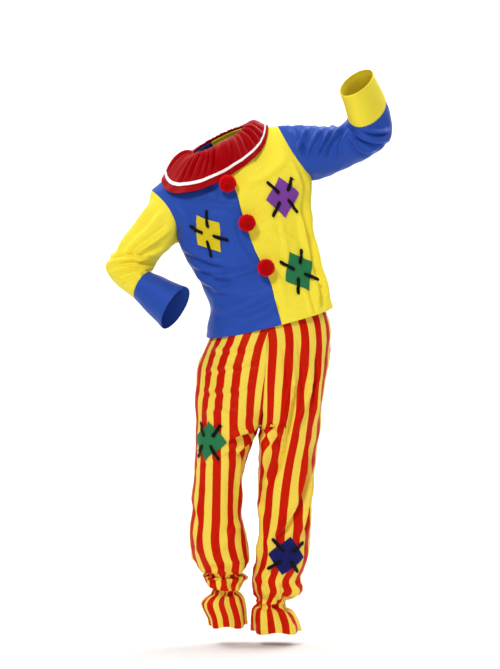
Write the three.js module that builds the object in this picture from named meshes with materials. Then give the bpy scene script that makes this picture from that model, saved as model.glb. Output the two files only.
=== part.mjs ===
// A child's clown costume, worn: a tunic with a gathered collar, and striped trousers.
// Millimetres, +Z up, the front faces -Y, and the wearer's right is at -X.
// Every piece of cloth is a closed wall of even thickness over one smooth surface(u, v),
// and pieces that are sewn together share that surface's edge with a small gap between them.
import * as THREE from 'three';

const CLOTH = 2;              // wall of the satin panels
const SEAM = 0.38;            // gap between pieces that are sewn together
const FELT = 1.5;             // patches and bars
const RIBBON = 1;
const LAID_ON = 1.15;         // what lies on a panel clears its facets by this much

const NECK_CENTRE = [12, 0, 21];
const NECK_HALF_WIDTH = 66;
const NECK_HALF_DEPTH = 52;
const NECK_TILT = 27 * Math.PI / 180;
const NECK_FRONT_DIP = 0.28;  // fall of the neck edge for each mm forward
const NECK_FROM = 0.36;       // share of the shoulder row where the neckline begins and ends
const NECK_TO = 0.67;

const ARMPIT_ROW = 3;
const HEM_ROW = 8;
const ARMHOLE_HALF_WIDTH = 48;
const HEM_DIP = 12;
const ARMHOLE_FLATNESS = 0.6; // how far the columns even out beside the armholes
const CHEST_FULLNESS = 0.85;  // powers of the sine that rounds the body and the armhole
const ARMHOLE_FULLNESS = 0.8;

// Tunic rows from shoulders to hem: right x z, left x z, depth in front, depth behind,
// and the share of the width that lies right of the centre front seam.
const TUNIC_ROWS = [
  [-144, -92, 146, 55, 97, 90, 0.53],
  [-110, -126, 180, -8, 97, 90, 0.5],
  [-88, -167, 207, -46, 97, 90, 0.48],
  [-81, -213, 225, -71, 97, 90, 0.475],
  [-54, -270, 222, -142, 95, 86, 0.5],
  [-25, -321, 226, -200, 93, 84, 0.53],
  [-7, -362, 242, -248, 94, 89, 0.55],
  [-15, -400, 258, -305, 100, 99, 0.575],
  [-16, -431, 271, -363, 106, 107, 0.594],
];

// Sleeve rings after the armhole: top x z, under x z, y of the middle, half depth,
// and how far the far side leans along x and z.
const RIGHT_RINGS = [
  [-160, -143, -95, -222, 0, 50, 0, 0],
  [-187, -182, -116, -237, 3, 49, 0, 0],
  [-224, -226, -129, -254, 6, 47, 0, 0],
  [-248, -268, -134, -265, 8, 46, 2, -2],
  [-223, -311, -138, -273, 1, 46, 6, -5],
  [-182, -343, -145, -280, -10, 44, 10, -7],
  [-150, -375, -104, -298, -23, 46, 13, -9],
  [-116, -410, -59, -318, -38, 50, 15, -10],
];
const LEFT_RINGS = [
  [190, 59, 262, -62, 0, 52, 0, 0],
  [235, 55, 307, -42, -2, 48, 0, 0],
  [272, 54, 352, -22, -8, 47, 0, 5],
  [296, 60, 391, 6, -16, 47, 0, 16],
  [306, 67, 410, 42, -30, 46, 4, 30],
  [307, 74, 394, 98, -52, 42, 7, 40],
  [297, 101, 378, 130, -80, 43, 7, 36],
  [286, 130, 361, 160, -108, 46, 8, 31],
];
const CUFF_SEAM_RING = 6;
const CUFF_END_RING = 8;

const FORK_ROW = 4;           // the row where the two legs part
const FORK_BEGINS = 3;
const FORK_LINE = [           // centre seam from waist to fork: x z
  [128, -322],
  [124, -408],
  [120, -480],
  [114, -552],
  [106, -640],
];
const SEAT_DEPTHS = [         // front and back of both legs, from waist to below the fork
  [80, 84],
  [98, 100],
  [102, 112],
  [99, 112],
  [90, 100],
  [80, 88],
];
const RIGHT_OUTSEAM = [
  [28, -346], [-8, -430], [-35, -495], [-40, -558], [-41, -625], [-43, -690], [-48, -759], [-54, -836],
  [-57, -898], [-46, -944], [-24, -963], [-29, -985], [-6, -1013], [-31, -1042], [-18, -1076], [-14, -1097],
];
const RIGHT_INSEAM = [
  [105.4, -640], [82, -692], [66, -759], [63, -836],
  [74, -890], [82, -942], [65, -966], [79, -984], [58, -1007], [71, -1034], [76, -1066], [76, -1096],
];
const RIGHT_LEG_DEPTHS = [    // after SEAT_DEPTHS
  [71, 76], [67, 70], [69, 70], [69, 70], [52, 52], [56, 56], [36, 37], [50, 50], [56, 54], [58, 55],
];
const LEFT_OUTSEAM = [
  [228, -298], [264, -384], [270, -456], [257, -530], [247, -605], [239, -680], [232, -745], [227, -815],
  [221, -880], [217, -930], [208, -962], [197, -990], [204, -1016], [163, -1042], [184, -1060], [198, -1085],
  [203, -1110],
];
const LEFT_INSEAM = [
  [106.6, -640], [105, -692], [103, -750], [101, -815],
  [103, -865], [98, -925], [92, -965], [87, -986], [87, -1010],
  [99, -1038], [87, -1058], [83, -1085], [84, -1110],
];
const LEFT_LEG_DEPTHS = [
  [74, 78], [70, 72], [68, 70], [68, 70], [66, 66], [60, 60],
  [62, 60], [38, 38], [50, 48], [58, 54], [60, 56],
];
const FRILL_WAVES = 4;        // folds across each panel where the elastic gathers it
const FRILL_WAVE_HEIGHT = 3.5;
const GATHER_REACH = 2.5;     // rows over which an ankle gather fades out
const FRILL_REACH = 2;
const ROWS_BELOW_ANKLE = 4;

const COLLAR_CENTRE = [3, 0, -8];
const COLLAR_HALF_LENGTH = 134;
const COLLAR_TILT = 24 * Math.PI / 180;
const COLLAR_FRONT = [92, 74];   // reach and fall of the outer edge in front
const COLLAR_BACK = [86, 30];
const COLLAR_STAND = 13;         // how high the gathers stand over the straight line
const COLLAR_CLEARANCE = 3.6;    // between the collar and the tunic under it
const COLLAR_PLEATS = 12;
const COLLAR_PLEAT_HEIGHT = 5;
const RIBBON_FROM = 0.8;
const RIBBON_TO = 0.88;

const POMPOM_RADIUS = 18.5;
const POMPOM_PLACES = {         // x, z, and how far the middle of the ball stands out
  top: [37, -86, 22],
  middle: [76, -172, 19.3],
  bottom: [118, -274, 19.3],
};

const PATCH_WIDTH = 60;
const PATCH_HEIGHT = 66;
const BAR_WIDTH = 6;
const BAR_IN = 18;               // reach of a bar inside and outside the patch's edge
const BAR_OUT = 20;
const BAR_STEP_FROM = 2.5;    // the bar steps down off the patch between these distances
const BAR_STEP_TO = 7;
const NUDGE = 1e-3;           // keeps a walk over the cloth from having no length

const BLUE = 0x3a5aaf;
const YELLOW = 0xf2dc3c;
const RED = 0xb4101a;
const BALL_RED = 0xe0161c;
const WHITE = 0xf6f2f0;
const BLACK = 0x101010;
const STRIPE = 0xd8301c;
const PURPLE = 0x7d3ca0;
const GREEN = 0x2d8250;
const NAVY = 0x28236e;

const { PI } = Math;
const lerp = (a, b, t) => a + (b - a) * t;
const clamp = (value, low, high) => Math.min(Math.max(value, low), high);
const vec = (x, y, z) => new THREE.Vector3(x, y, z);

// A smooth curve through rows of numbers, one row for each whole number t.
function along(rows, t) {
  const last = rows.length - 1;
  const i = clamp(Math.floor(t), 0, last - 1);
  const f = t - i;
  const before = rows[Math.max(i - 1, 0)];
  const after = rows[Math.min(i + 2, last)];
  return rows[i].map((b, k) => {
    const c = rows[i + 1][k];
    const leave = (c - before[k]) / 2;
    const arrive = (after[k] - b) / 2;
    const turn = 2 * (b - c) + leave + arrive;
    return b + f * (leave + f * (c - b - leave - turn + f * turn));
  });
}

function neckEdge(angle, drop) {
  const side = NECK_HALF_WIDTH * Math.cos(angle);
  const forward = -NECK_HALF_DEPTH * Math.sin(angle);
  return vec(
    NECK_CENTRE[0] + side * Math.cos(NECK_TILT),
    -forward,
    NECK_CENTRE[2] + side * Math.sin(NECK_TILT) - forward * NECK_FRONT_DIP - drop,
  );
}

// Top row of the tunic: shoulder seam, neckline, shoulder seam.
function shoulderLine(across, side) {
  const drop = CLOTH + 2 * SEAM;
  if (across < NECK_FROM) {
    const tip = vec(TUNIC_ROWS[0][0], 0, TUNIC_ROWS[0][1]);
    return tip.lerp(neckEdge(PI, drop), across / NECK_FROM);
  }
  if (across > NECK_TO) {
    const tip = vec(TUNIC_ROWS[0][2], 0, TUNIC_ROWS[0][3]);
    return tip.lerp(neckEdge(0, drop), (1 - across) / (1 - NECK_TO));
  }
  const angle = PI + PI * (across - NECK_FROM) / (NECK_TO - NECK_FROM);
  return neckEdge(side < 0 ? angle : -angle, drop);
}

// Share of a row's width at a given u: rounded at the side seams, flatter beside the armholes.
function widthShare(across, v) {
  const armhole = Math.sin(PI * Math.min(v / ARMPIT_ROW, 1));
  return lerp((1 - Math.cos(PI * across)) / 2, across, ARMHOLE_FLATNESS * armhole);
}

// u: 0 right side seam, 1 left side seam, and 1 to 2 back round behind. v: 0 shoulders, 8 hem.
function tunic(u, v) {
  const side = u > 1 ? 1 : -1;
  const across = u > 1 ? 2 - u : u;
  const [rightX, rightZ, leftX, leftZ, front, back] = along(TUNIC_ROWS, v);
  const w = Math.min(v / ARMPIT_ROW, 1);
  const rise = (Math.sin(PI / 2 * w) + Math.sqrt(Math.max(w * (2 - w), 0))) / 2;
  const depth = (side < 0 ? front : back) * rise;
  const gap = ARMHOLE_HALF_WIDTH * Math.max(Math.sin(PI * w), 0) ** ARMHOLE_FULLNESS;
  const share = widthShare(across, v);
  const round = Math.max(Math.sin(PI * across), 0) ** CHEST_FULLNESS;
  const dip = side < 0 ? HEM_DIP * Math.sin(PI * across) * (v / HEM_ROW) ** 2 : 0;
  const point = vec(
    lerp(rightX, leftX, share),
    side * (gap + (depth - gap) * round),
    lerp(rightZ, leftZ, share) - dip,
  );
  const flat = (1 - Math.cos(PI * across)) / 2;
  const ridge = vec(
    lerp(TUNIC_ROWS[0][0], TUNIC_ROWS[0][2], flat),
    0,
    lerp(TUNIC_ROWS[0][1], TUNIC_ROWS[0][3], flat),
  );
  return point.addScaledVector(shoulderLine(across, side).sub(ridge), (1 - w) ** 2);
}

// u of the centre seam at row v, behind it the same share from the other side.
function centreSeam(v) {
  const share = along(TUNIC_ROWS, v)[6];
  let low = 0;
  let high = 1;
  for (let step = 0; step < 30; step += 1) {
    const middle = (low + high) / 2;
    if (widthShare(middle, v) < share) low = middle;
    else high = middle;
  }
  return low;
}

// A sleeve from the armhole's own loop through its rings. u: 0 on top, 0.5 under the arm.
function sleeve(rings, armholeU, bodyU) {
  const loop = u => (u <= 0.5
    ? tunic(armholeU, ARMPIT_ROW * 2 * u)
    : tunic(bodyU, ARMPIT_ROW * 2 * (1 - u)));
  const ring = (k, u) => {
    if (k <= 0) return loop(u);
    const [topX, topZ, underX, underZ, y, depth, leanX, leanZ] = rings[Math.min(k, rings.length) - 1];
    const c = Math.cos(2 * PI * u);
    const s = Math.sin(2 * PI * u);
    return vec(
      lerp(underX, topX, (1 + c) / 2) - leanX * s,
      y - depth * s,
      lerp(underZ, topZ, (1 + c) / 2) - leanZ * s,
    );
  };
  return (u, v) => {
    const turn = u - Math.floor(u);
    const k = Math.min(Math.floor(v), rings.length - 1);
    const points = [k - 1, k, k + 1, k + 2].map(n => ring(n, turn).toArray());
    return vec(...along(points, 1 + v - k));
  };
}

// One leg of the trousers. u: 0 outer seam, 1 and -1 the centre seam or inseam, front and back.
function leg(outseam, inseam, lowerDepths) {
  const depths = [...SEAT_DEPTHS, ...lowerDepths];
  const ankle = outseam.length - ROWS_BELOW_ANKLE;
  return (u, v) => {
    const [outX, outZ] = along(outseam, v);
    const [inX, plainInZ] = v < FORK_ROW ? along(FORK_LINE, v) : along(inseam, v - FORK_ROW);
    const turn = clamp(v - FORK_BEGINS, 0, 1);
    const forkDrop = FORK_LINE[FORK_ROW][1] - FORK_LINE[FORK_BEGINS][1];
    const inZ = plainInZ + forkDrop * (Math.sin(PI / 2 * turn) - turn);
    const end = PI / 2 * (1 + turn);
    const angle = end * Math.abs(u);
    const share = (1 - Math.cos(angle)) / (1 - Math.cos(end));
    const [front, back] = along(depths, v);
    const frill = Math.max(0, v - ankle - 1) / FRILL_REACH;
    const gathered = Math.max(0, 1 - Math.abs(v - ankle) / GATHER_REACH) + frill;
    const wave = FRILL_WAVE_HEIGHT * Math.min(gathered, 1) * (Math.cos(2 * PI * FRILL_WAVES * u) - 1);
    const depth = u < 0 ? back : -front;
    const side = Math.sign(outX - inX);
    const bulge = wave * Math.sin(angle) / Math.max(Math.abs(depth), 1);
    return vec(
      lerp(outX, inX, share) + side * wave * Math.cos(angle),
      depth * (Math.sin(angle) + bulge),
      lerp(outZ, inZ, share),
    );
  };
}

// Outward normal of surface(u, v), by small steps that stay inside its ranges.
function outward(surface, u, v, side, limits) {
  const h = 1e-3;
  const [u0, u1, v0, v1] = limits;
  const du = surface(Math.min(u + h, u1), v).sub(surface(Math.max(u - h, u0), v));
  const dv = surface(u, Math.min(v + h, v1)).sub(surface(u, Math.max(v - h, v0)));
  return dv.cross(du).normalize().multiplyScalar(side);
}

// A closed wall over a grid of outer points and the directions in which it gains thickness.
function wall(outer, inward, thickness, closed) {
  const columns = outer.length;
  const rows = outer[0].length;
  const positions = [];
  const index = (layer, i, j) => (layer * columns + (i % columns)) * rows + j;
  for (const layer of [0, 1]) {
    for (let i = 0; i < columns; i += 1) {
      for (let j = 0; j < rows; j += 1) {
        const point = outer[i][j].clone().addScaledVector(inward[i][j], layer * thickness);
        positions.push(...point.toArray());
      }
    }
  }
  const triangles = [];
  const quad = (a, b, c, d) => triangles.push(a, b, c, a, c, d);
  const spans = closed ? columns : columns - 1;
  for (let i = 0; i < spans; i += 1) {
    for (let j = 0; j < rows - 1; j += 1) {
      quad(index(0, i, j), index(0, i, j + 1), index(0, i + 1, j + 1), index(0, i + 1, j));
      quad(index(1, i, j), index(1, i + 1, j), index(1, i + 1, j + 1), index(1, i, j + 1));
    }
    quad(index(0, i, 0), index(0, i + 1, 0), index(1, i + 1, 0), index(1, i, 0));
    quad(index(0, i, rows - 1), index(1, i, rows - 1), index(1, i + 1, rows - 1), index(0, i + 1, rows - 1));
  }
  if (!closed) {
    for (let j = 0; j < rows - 1; j += 1) {
      quad(index(0, 0, j), index(1, 0, j), index(1, 0, j + 1), index(0, 0, j + 1));
      const end = columns - 1;
      quad(index(0, end, j), index(0, end, j + 1), index(1, end, j + 1), index(1, end, j));
    }
  }
  const geometry = new THREE.BufferGeometry();
  geometry.setAttribute('position', new THREE.Float32BufferAttribute(positions, 3));
  geometry.setIndex(triangles);
  return volume(positions, triangles) < 0 ? turnedInsideOut(geometry) : geometry;
}

function volume(positions, triangles) {
  const corner = n => vec(positions[3 * n], positions[3 * n + 1], positions[3 * n + 2]);
  let sum = 0;
  for (let t = 0; t < triangles.length; t += 3) {
    const [a, b, c] = [corner(triangles[t]), corner(triangles[t + 1]), corner(triangles[t + 2])];
    sum += a.dot(b.cross(c)) / 6;
  }
  return sum;
}

function turnedInsideOut(geometry) {
  const order = Array.from(geometry.index.array);
  for (let t = 0; t < order.length; t += 3) [order[t], order[t + 1]] = [order[t + 1], order[t]];
  geometry.setIndex(order);
  return geometry;
}

// Pulls the edge of a grid back by half a seam gap on each side that is sewn.
function pullBack(grid, inward, sides, closed) {
  const columns = grid.length;
  const rows = grid[0].length;
  const move = (i, j, toI, toJ) => {
    const step = grid[toI][toJ].clone().sub(grid[i][j]);
    step.addScaledVector(inward[i][j], -step.dot(inward[i][j]));
    return [i, j, step.setLength(SEAM / 2)];
  };
  const moves = [];
  for (let j = 0; j < rows && !closed; j += 1) {
    if (sides.includes('start')) moves.push(move(0, j, 1, j));
    if (sides.includes('end')) moves.push(move(columns - 1, j, columns - 2, j));
  }
  for (let i = 0; i < columns; i += 1) {
    if (sides.includes('top')) moves.push(move(i, 0, i, 1));
    if (sides.includes('bottom')) moves.push(move(i, rows - 1, i, rows - 2));
  }
  for (const [i, j, step] of moves) grid[i][j].add(step);
}

const costume = new THREE.Group();
costume.position.set(-NECK_CENTRE[0], -NECK_CENTRE[1], -NECK_CENTRE[2]);

function add(name, geometry, colour, roughness = 0.5) {
  const material = new THREE.MeshStandardMaterial({ color: colour, roughness, metalness: 0 });
  const mesh = new THREE.Mesh(geometry, material);
  mesh.name = name;
  costume.add(mesh);
}

// One piece of cloth: columns(v) gives the u of every column, so an edge may be a curve.
function panel(name, surface, side, columns, rowValues, options) {
  const { limits, sewn, closed = false, edgeNormal = () => null, colour } = options;
  const count = columns(rowValues[0]).length;
  const grid = [];
  const inward = [];
  for (let i = 0; i < count; i += 1) {
    grid.push(rowValues.map(v => surface(columns(v)[i], v)));
    inward.push(rowValues.map((v) => {
      const u = columns(v)[i];
      const normal = outward(surface, u, v, side, limits);
      return (edgeNormal(u, v, normal) ?? normal).negate();
    }));
  }
  pullBack(grid, inward, sewn, closed);
  add(name, wall(grid, inward, CLOTH, closed), colour);
}

const steps = (from, to, count) => Array.from({ length: count + 1 }, (_, k) => lerp(from, to, k / count));

// Walls that meet in the middle plane of the body share an edge that stands in that plane.
const inMiddlePlane = normal => vec(normal.x, 0, normal.z).normalize();

const rightSleeve = sleeve(RIGHT_RINGS, 0, 2);
const leftSleeve = sleeve(LEFT_RINGS, 1, 1 + 1e-9);
const SLEEVE_LIMITS = [-9, 9, 0, CUFF_END_RING];
const ARMHOLE_STEPS = 7;

// Both walls at an armhole lean halfway between the tunic's normal and the sleeve's.
function armholeNormal(surface, side, u, bodyU, bodyV) {
  const own = outward(surface, u, 0, side, SLEEVE_LIMITS);
  const back = bodyU > 1;
  const limits = back ? [1 + 1e-6, 2, 0, HEM_ROW] : [0, 1, 0, HEM_ROW];
  const body = outward(tunic, bodyU, clamp(bodyV, 0.02, HEM_ROW), 1, limits);
  const sum = own.add(body);
  if (bodyV < 1e-6 || bodyV > ARMPIT_ROW - 1e-6) sum.y = 0;
  return sum.normalize();
}

function tunicEdge(isBack) {
  return (u, v, normal) => {
    const across = isBack ? 2 - u : u;
    const atArmhole = v <= ARMPIT_ROW + 1e-6;
    const turn = isBack ? 1 - v / ARMPIT_ROW / 2 : v / ARMPIT_ROW / 2;
    if (across < 1e-6 && atArmhole) return armholeNormal(rightSleeve, 1, turn, u, v);
    if (across > 1 - 1e-6 && atArmhole) return armholeNormal(leftSleeve, -1, turn, u, v);
    if (across < 1e-6 || across > 1 - 1e-6) return inMiddlePlane(normal);
    if (v < 1e-6 && (across < NECK_FROM + 1e-6 || across > NECK_TO - 1e-6)) return inMiddlePlane(normal);
    return null;
  };
}

const tunicRows = [
  ...steps(0, ARMPIT_ROW, ARMHOLE_STEPS),
  ...steps(ARMPIT_ROW, HEM_ROW, 6).slice(1),
];
const HALF_COLUMNS = 8;
const NECK_COLUMN = 5;        // columns from the shoulder tip to the neckline's start

// Columns that keep one line on the corner between shoulder seam and neckline.
function halfColumns(fromTip, corner, seam) {
  const outer = steps(fromTip, corner, NECK_COLUMN);
  return [...outer, ...steps(corner, seam, HALF_COLUMNS - NECK_COLUMN).slice(1)];
}

const backOf = values => values.map(u => Math.max(2 - u, 1 + 1e-6));
const backSeam = v => 1 - centreSeam(v);
const cornerRight = v => Math.min(NECK_FROM, 0.8 * centreSeam(v));
const rightHalf = seam => v => halfColumns(0, cornerRight(v), seam(v));
const leftHalf = seam => v => halfColumns(1, NECK_TO, seam(v));
const frontLimits = [0, 1, 0, HEM_ROW];
const backLimits = [1 + 1e-6, 2, 0, HEM_ROW];
const allSewn = ['start', 'end', 'top'];

panel('tunic_front_right', tunic, 1, rightHalf(centreSeam), tunicRows,
  { limits: frontLimits, sewn: allSewn, edgeNormal: tunicEdge(false), colour: BLUE });
panel('tunic_front_left', tunic, 1, leftHalf(centreSeam), tunicRows,
  { limits: frontLimits, sewn: allSewn, edgeNormal: tunicEdge(false), colour: YELLOW });
panel('tunic_back_right', tunic, 1, v => backOf(rightHalf(backSeam)(v)), tunicRows,
  { limits: backLimits, sewn: allSewn, edgeNormal: tunicEdge(true), colour: BLUE });
panel('tunic_back_left', tunic, 1, v => backOf(leftHalf(backSeam)(v)), tunicRows,
  { limits: backLimits, sewn: allSewn, edgeNormal: tunicEdge(true), colour: YELLOW });

const ringColumns = steps(0, 1, 2 * ARMHOLE_STEPS).slice(0, -1);
const sleeveRows = steps(0, CUFF_SEAM_RING, 9);
const cuffRows = steps(CUFF_SEAM_RING, CUFF_END_RING, 2);

function sleeveEdge(surface, side, isLeft) {
  return (u, v) => {
    if (v > 1e-6) return null;
    const bodyU = u <= 0.5 ? (isLeft ? 1 : 0) : (isLeft ? 1 + 1e-6 : 2);
    const bodyV = ARMPIT_ROW * 2 * Math.min(u, 1 - u);
    return armholeNormal(surface, side, u, bodyU, bodyV);
  };
}

for (const [name, surface, side, colour, cuffColour] of [
  ['right', rightSleeve, 1, YELLOW, BLUE],
  ['left', leftSleeve, -1, BLUE, YELLOW],
]) {
  panel(`sleeve_${name}`, surface, side, () => ringColumns, sleeveRows, {
    limits: SLEEVE_LIMITS,
    sewn: ['top', 'bottom'],
    closed: true,
    edgeNormal: sleeveEdge(surface, side, name === 'left'),
    colour,
  });
  panel(`cuff_${name}`, surface, side, () => ringColumns, cuffRows,
    { limits: SLEEVE_LIMITS, sewn: ['top'], closed: true, colour: cuffColour });
}

const rightLeg = leg(RIGHT_OUTSEAM, RIGHT_INSEAM, RIGHT_LEG_DEPTHS);
const leftLeg = leg(LEFT_OUTSEAM, LEFT_INSEAM, LEFT_LEG_DEPTHS);
const LEG_COLUMNS = 2 * FRILL_WAVES;

for (const [name, surface, side, hem] of [
  ['right', rightLeg, 1, RIGHT_OUTSEAM.length - 1],
  ['left', leftLeg, -1, LEFT_OUTSEAM.length - 1],
]) {
  const rows = [
    ...steps(0, FORK_BEGINS, 3),
    ...steps(FORK_BEGINS, FORK_ROW, 3).slice(1),
    ...steps(FORK_ROW, 8, 4).slice(1),
    ...steps(8, hem, 2 * (hem - 8)).slice(1),
  ];
  const edge = (u, v, normal) => {
    if (Math.abs(u) < 1e-6) return inMiddlePlane(normal);
    if (Math.abs(u) > 1 - 1e-6 && v > FORK_ROW - 1e-6) return inMiddlePlane(normal);
    return null;
  };
  panel(`trousers_front_${name}`, surface, side, () => steps(0, 1, LEG_COLUMNS), rows,
    { limits: [0, 1, 0, hem], sewn: ['start', 'end'], edgeNormal: edge, colour: STRIPE });
  panel(`trousers_back_${name}`, surface, side, () => steps(0, -1, LEG_COLUMNS), rows,
    { limits: [-1, -1e-6, 0, hem], sewn: ['start', 'end'], edgeNormal: edge, colour: STRIPE });
}

// Points of the tunic's outside, used to keep what lies over the shoulders clear of it.
const tunicSamples = [];
for (const [from, to, limits] of [[0, 1, frontLimits], [1 + 1e-6, 2, backLimits]]) {
  for (const v of steps(0.02, 5, 50)) {
    for (const u of steps(from, to, 50)) {
      tunicSamples.push([tunic(u, v), outward(tunic, u, v, 1, limits)]);
    }
  }
}

function liftedClear(point, clearance) {
  let nearest = null;
  let least = Infinity;
  for (const sample of tunicSamples) {
    const distance = sample[0].distanceToSquared(point);
    if (distance < least) {
      least = distance;
      nearest = sample;
    }
  }
  const height = point.clone().sub(nearest[0]).dot(nearest[1]);
  return height < clearance ? point.addScaledVector(nearest[1], clearance - height) : point;
}

function collarOuterEdge(angle) {
  const side = COLLAR_HALF_LENGTH * Math.cos(angle);
  const forward = -Math.sign(Math.sin(angle)) * Math.abs(Math.sin(angle)) ** 0.8;
  const [reach, fall] = forward > 0 ? COLLAR_FRONT : COLLAR_BACK;
  return vec(
    COLLAR_CENTRE[0] + side * Math.cos(COLLAR_TILT),
    -reach * forward,
    COLLAR_CENTRE[2] + side * Math.sin(COLLAR_TILT) - fall * Math.abs(forward),
  );
}

// u goes once round the neck, v from the neck edge to the outer edge.
function collarLine(u, v) {
  const angle = PI + 2 * PI * u;
  const stand = COLLAR_STAND * Math.sin(PI * v ** 0.75);
  const point = neckEdge(angle, 0).lerp(collarOuterEdge(angle), v);
  return point.add(vec(0, 0, stand));
}

const COLLAR_COLUMNS = 4 * COLLAR_PLEATS;
const collarRows = [0, 0.35, RIBBON_FROM, RIBBON_TO, 1];
const collarU = steps(0, 1, COLLAR_COLUMNS).slice(0, -1);
const collarLimits = [-9, 9, 0, 1];
const collarNormals = collarU.map(u => collarRows.map(v => outward(collarLine, u, v, 1, collarLimits)));
const collarGrid = collarU.map((u, i) => collarRows.map((v, j) => {
  const fullness = Math.sin(PI * Math.min(v / 0.9, 1));
  const pleat = COLLAR_PLEAT_HEIGHT * (1 + Math.cos(2 * PI * COLLAR_PLEATS * u)) / 2 * fullness;
  const clearance = v === 0 ? CLOTH : CLOTH + COLLAR_CLEARANCE;
  const point = liftedClear(collarLine(u, v), clearance);
  return point.addScaledVector(collarNormals[i][j], pleat);
}));
const collarInward = collarNormals.map(row => row.map(normal => normal.clone().negate()));
add('collar', wall(collarGrid, collarInward, CLOTH, true), RED);

const ribbonRows = [collarRows.indexOf(RIBBON_FROM), collarRows.indexOf(RIBBON_TO)];
const ribbonGrid = collarGrid.map((row, i) => ribbonRows.map(
  j => row[j].clone().addScaledVector(collarNormals[i][j], LAID_ON + RIBBON),
));
const ribbonInward = collarInward.map(row => ribbonRows.map(j => row[j]));
add('collar_ribbon', wall(ribbonGrid, ribbonInward, RIBBON, true), WHITE);

// The u and v of the surface's front where it shows at x and z.
function find(surface, x, z, start) {
  let [u, v] = start;
  for (let step = 0; step < 40; step += 1) {
    const here = surface(u, v);
    const h = 1e-4;
    const du = surface(u + h, v).sub(here).divideScalar(h);
    const dv = surface(u, v + h).sub(here).divideScalar(h);
    const area = du.x * dv.z - du.z * dv.x;
    const missX = x - here.x;
    const missZ = z - here.z;
    u += 0.7 * (missX * dv.z - missZ * dv.x) / area;
    v += 0.7 * (du.x * missZ - du.z * missX) / area;
  }
  return [u, v];
}

// Walks over the surface from (u, v) by across and up, in millimetres of cloth, turned by tilt.
function walk(surface, side, start, across, up, tilt) {
  let [u, v] = start;
  const pace = 6;
  const h = 1e-4;
  const c = Math.cos(tilt);
  const s = Math.sin(tilt);
  const wanted = vec(across * c - up * s, 0, across * s + up * c);
  const distance = wanted.length() / pace;
  let heading = wanted;
  for (let step = 0; step < pace; step += 1) {
    const here = surface(u, v);
    const du = surface(u + h, v).sub(here).divideScalar(h);
    const dv = surface(u, v + h).sub(here).divideScalar(h);
    const normal = dv.clone().cross(du).normalize();
    heading = heading.clone().addScaledVector(normal, -heading.dot(normal)).setLength(distance);
    const uu = du.dot(du);
    const uv = du.dot(dv);
    const vv = dv.dot(dv);
    const hu = heading.dot(du);
    const hv = heading.dot(dv);
    const area = uu * vv - uv * uv;
    u += (hu * vv - hv * uv) / area;
    v += (hv * uu - hu * uv) / area;
  }
  const normal = outward(surface, u, v, side, [-9, 9, 0, 99]);
  return [surface(u, v), normal];
}

// A flat piece of felt over a grid of cloth coordinates, with its height over the panel.
function feltPiece(name, surface, side, start, tilt, points, thickness, colour) {
  const laid = points.map(row => row.map(([across, up, height]) => {
    const [point, normal] = walk(surface, side, start, across, up, tilt);
    return [point.addScaledVector(normal, height + thickness), normal.negate()];
  }));
  const grid = laid.map(row => row.map(pair => pair[0]));
  const inward = laid.map(row => row.map(pair => pair[1]));
  add(name, wall(grid, inward, thickness, false), colour, 0.9);
}

// A patch with a felt bar across the middle of each side. It is turned by tilt and its upright
// sides lean by skew, in degrees. slants turn each bar off square.
function patch(name, surface, side, place, [tiltDegrees, skewDegrees], colour, slants, guess) {
  const tilt = tiltDegrees * degrees;
  const skew = skewDegrees * degrees;
  const skewed = ([across, up, height]) => [
    across - up * Math.sin(skew) + NUDGE,
    up * Math.cos(skew) + NUDGE,
    height,
  ];
  const start = find(surface, place[0], place[1], guess);
  const columns = steps(-PATCH_WIDTH / 2, PATCH_WIDTH / 2, 4);
  const rows = steps(PATCH_HEIGHT / 2, -PATCH_HEIGHT / 2, 4);
  const square = columns.map(a => rows.map(b => skewed([a, b, LAID_ON])));
  feltPiece(name, surface, side, start, tilt, square, FELT, colour);
  const onPatch = 2 * LAID_ON + FELT;
  const profile = [
    [-BAR_IN, onPatch],
    [-BAR_IN / 2, onPatch],
    [BAR_STEP_FROM, onPatch],
    [BAR_STEP_TO, LAID_ON],
    [BAR_OUT, LAID_ON],
  ];
  ['top', 'right', 'bottom', 'left'].forEach((edge, k) => {
    const turn = -k * PI / 2;
    const reach = k % 2 === 0 ? PATCH_HEIGHT / 2 : PATCH_WIDTH / 2;
    const slant = slants[k] * degrees;
    const bar = [-BAR_WIDTH / 2, BAR_WIDTH / 2].map(a => profile.map(([b, height]) => {
      const alongBar = b * Math.cos(slant) + a * Math.sin(slant);
      const acrossBar = a * Math.cos(slant) - b * Math.sin(slant);
      const out = reach + alongBar;
      const x = acrossBar * Math.cos(turn) - out * Math.sin(turn);
      const z = acrossBar * Math.sin(turn) + out * Math.cos(turn);
      return skewed([x, z, height]);
    }));
    feltPiece(`${name}_bar_${edge}`, surface, side, start, tilt, bar, FELT, BLACK);
  });
}

const degrees = PI / 180;
patch('patch_chest_right', tunic, 1, [-12, -196], [-16, 19], YELLOW, [4, 0, 10, -8], [0.3, 3.2]);
patch('patch_chest_left', tunic, 1, [158, -111], [-41, 9], PURPLE, [8, -4, 6, -8], [0.7, 3]);
patch('patch_belly_left', tunic, 1, [194, -281], [-20, 12], GREEN, [-6, 4, 6, -8], [0.7, 6]);
patch('patch_thigh_right', rightLeg, 1, [-11, -666], [-51, 0], GREEN, [6, -6, 4, -4], [0.35, 4.6]);
patch('patch_shin_left', leftLeg, -1, [166, -929], [-54, 0], NAVY, [-6, 4, -6, 6], [0.5, 9]);

for (const [name, [x, z, stand]] of Object.entries(POMPOM_PLACES)) {
  const [u, v] = find(tunic, x, z, [0.5, 3]);
  const normal = outward(tunic, u, v, 1, frontLimits);
  const middle = tunic(u, v).addScaledVector(normal, stand);
  const ball = new THREE.IcosahedronGeometry(POMPOM_RADIUS, 1);
  ball.translate(middle.x, middle.y, middle.z);
  add(`pompom_${name}`, ball, BALL_RED, 0.95);
}

export default costume;
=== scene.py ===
import math

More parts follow.
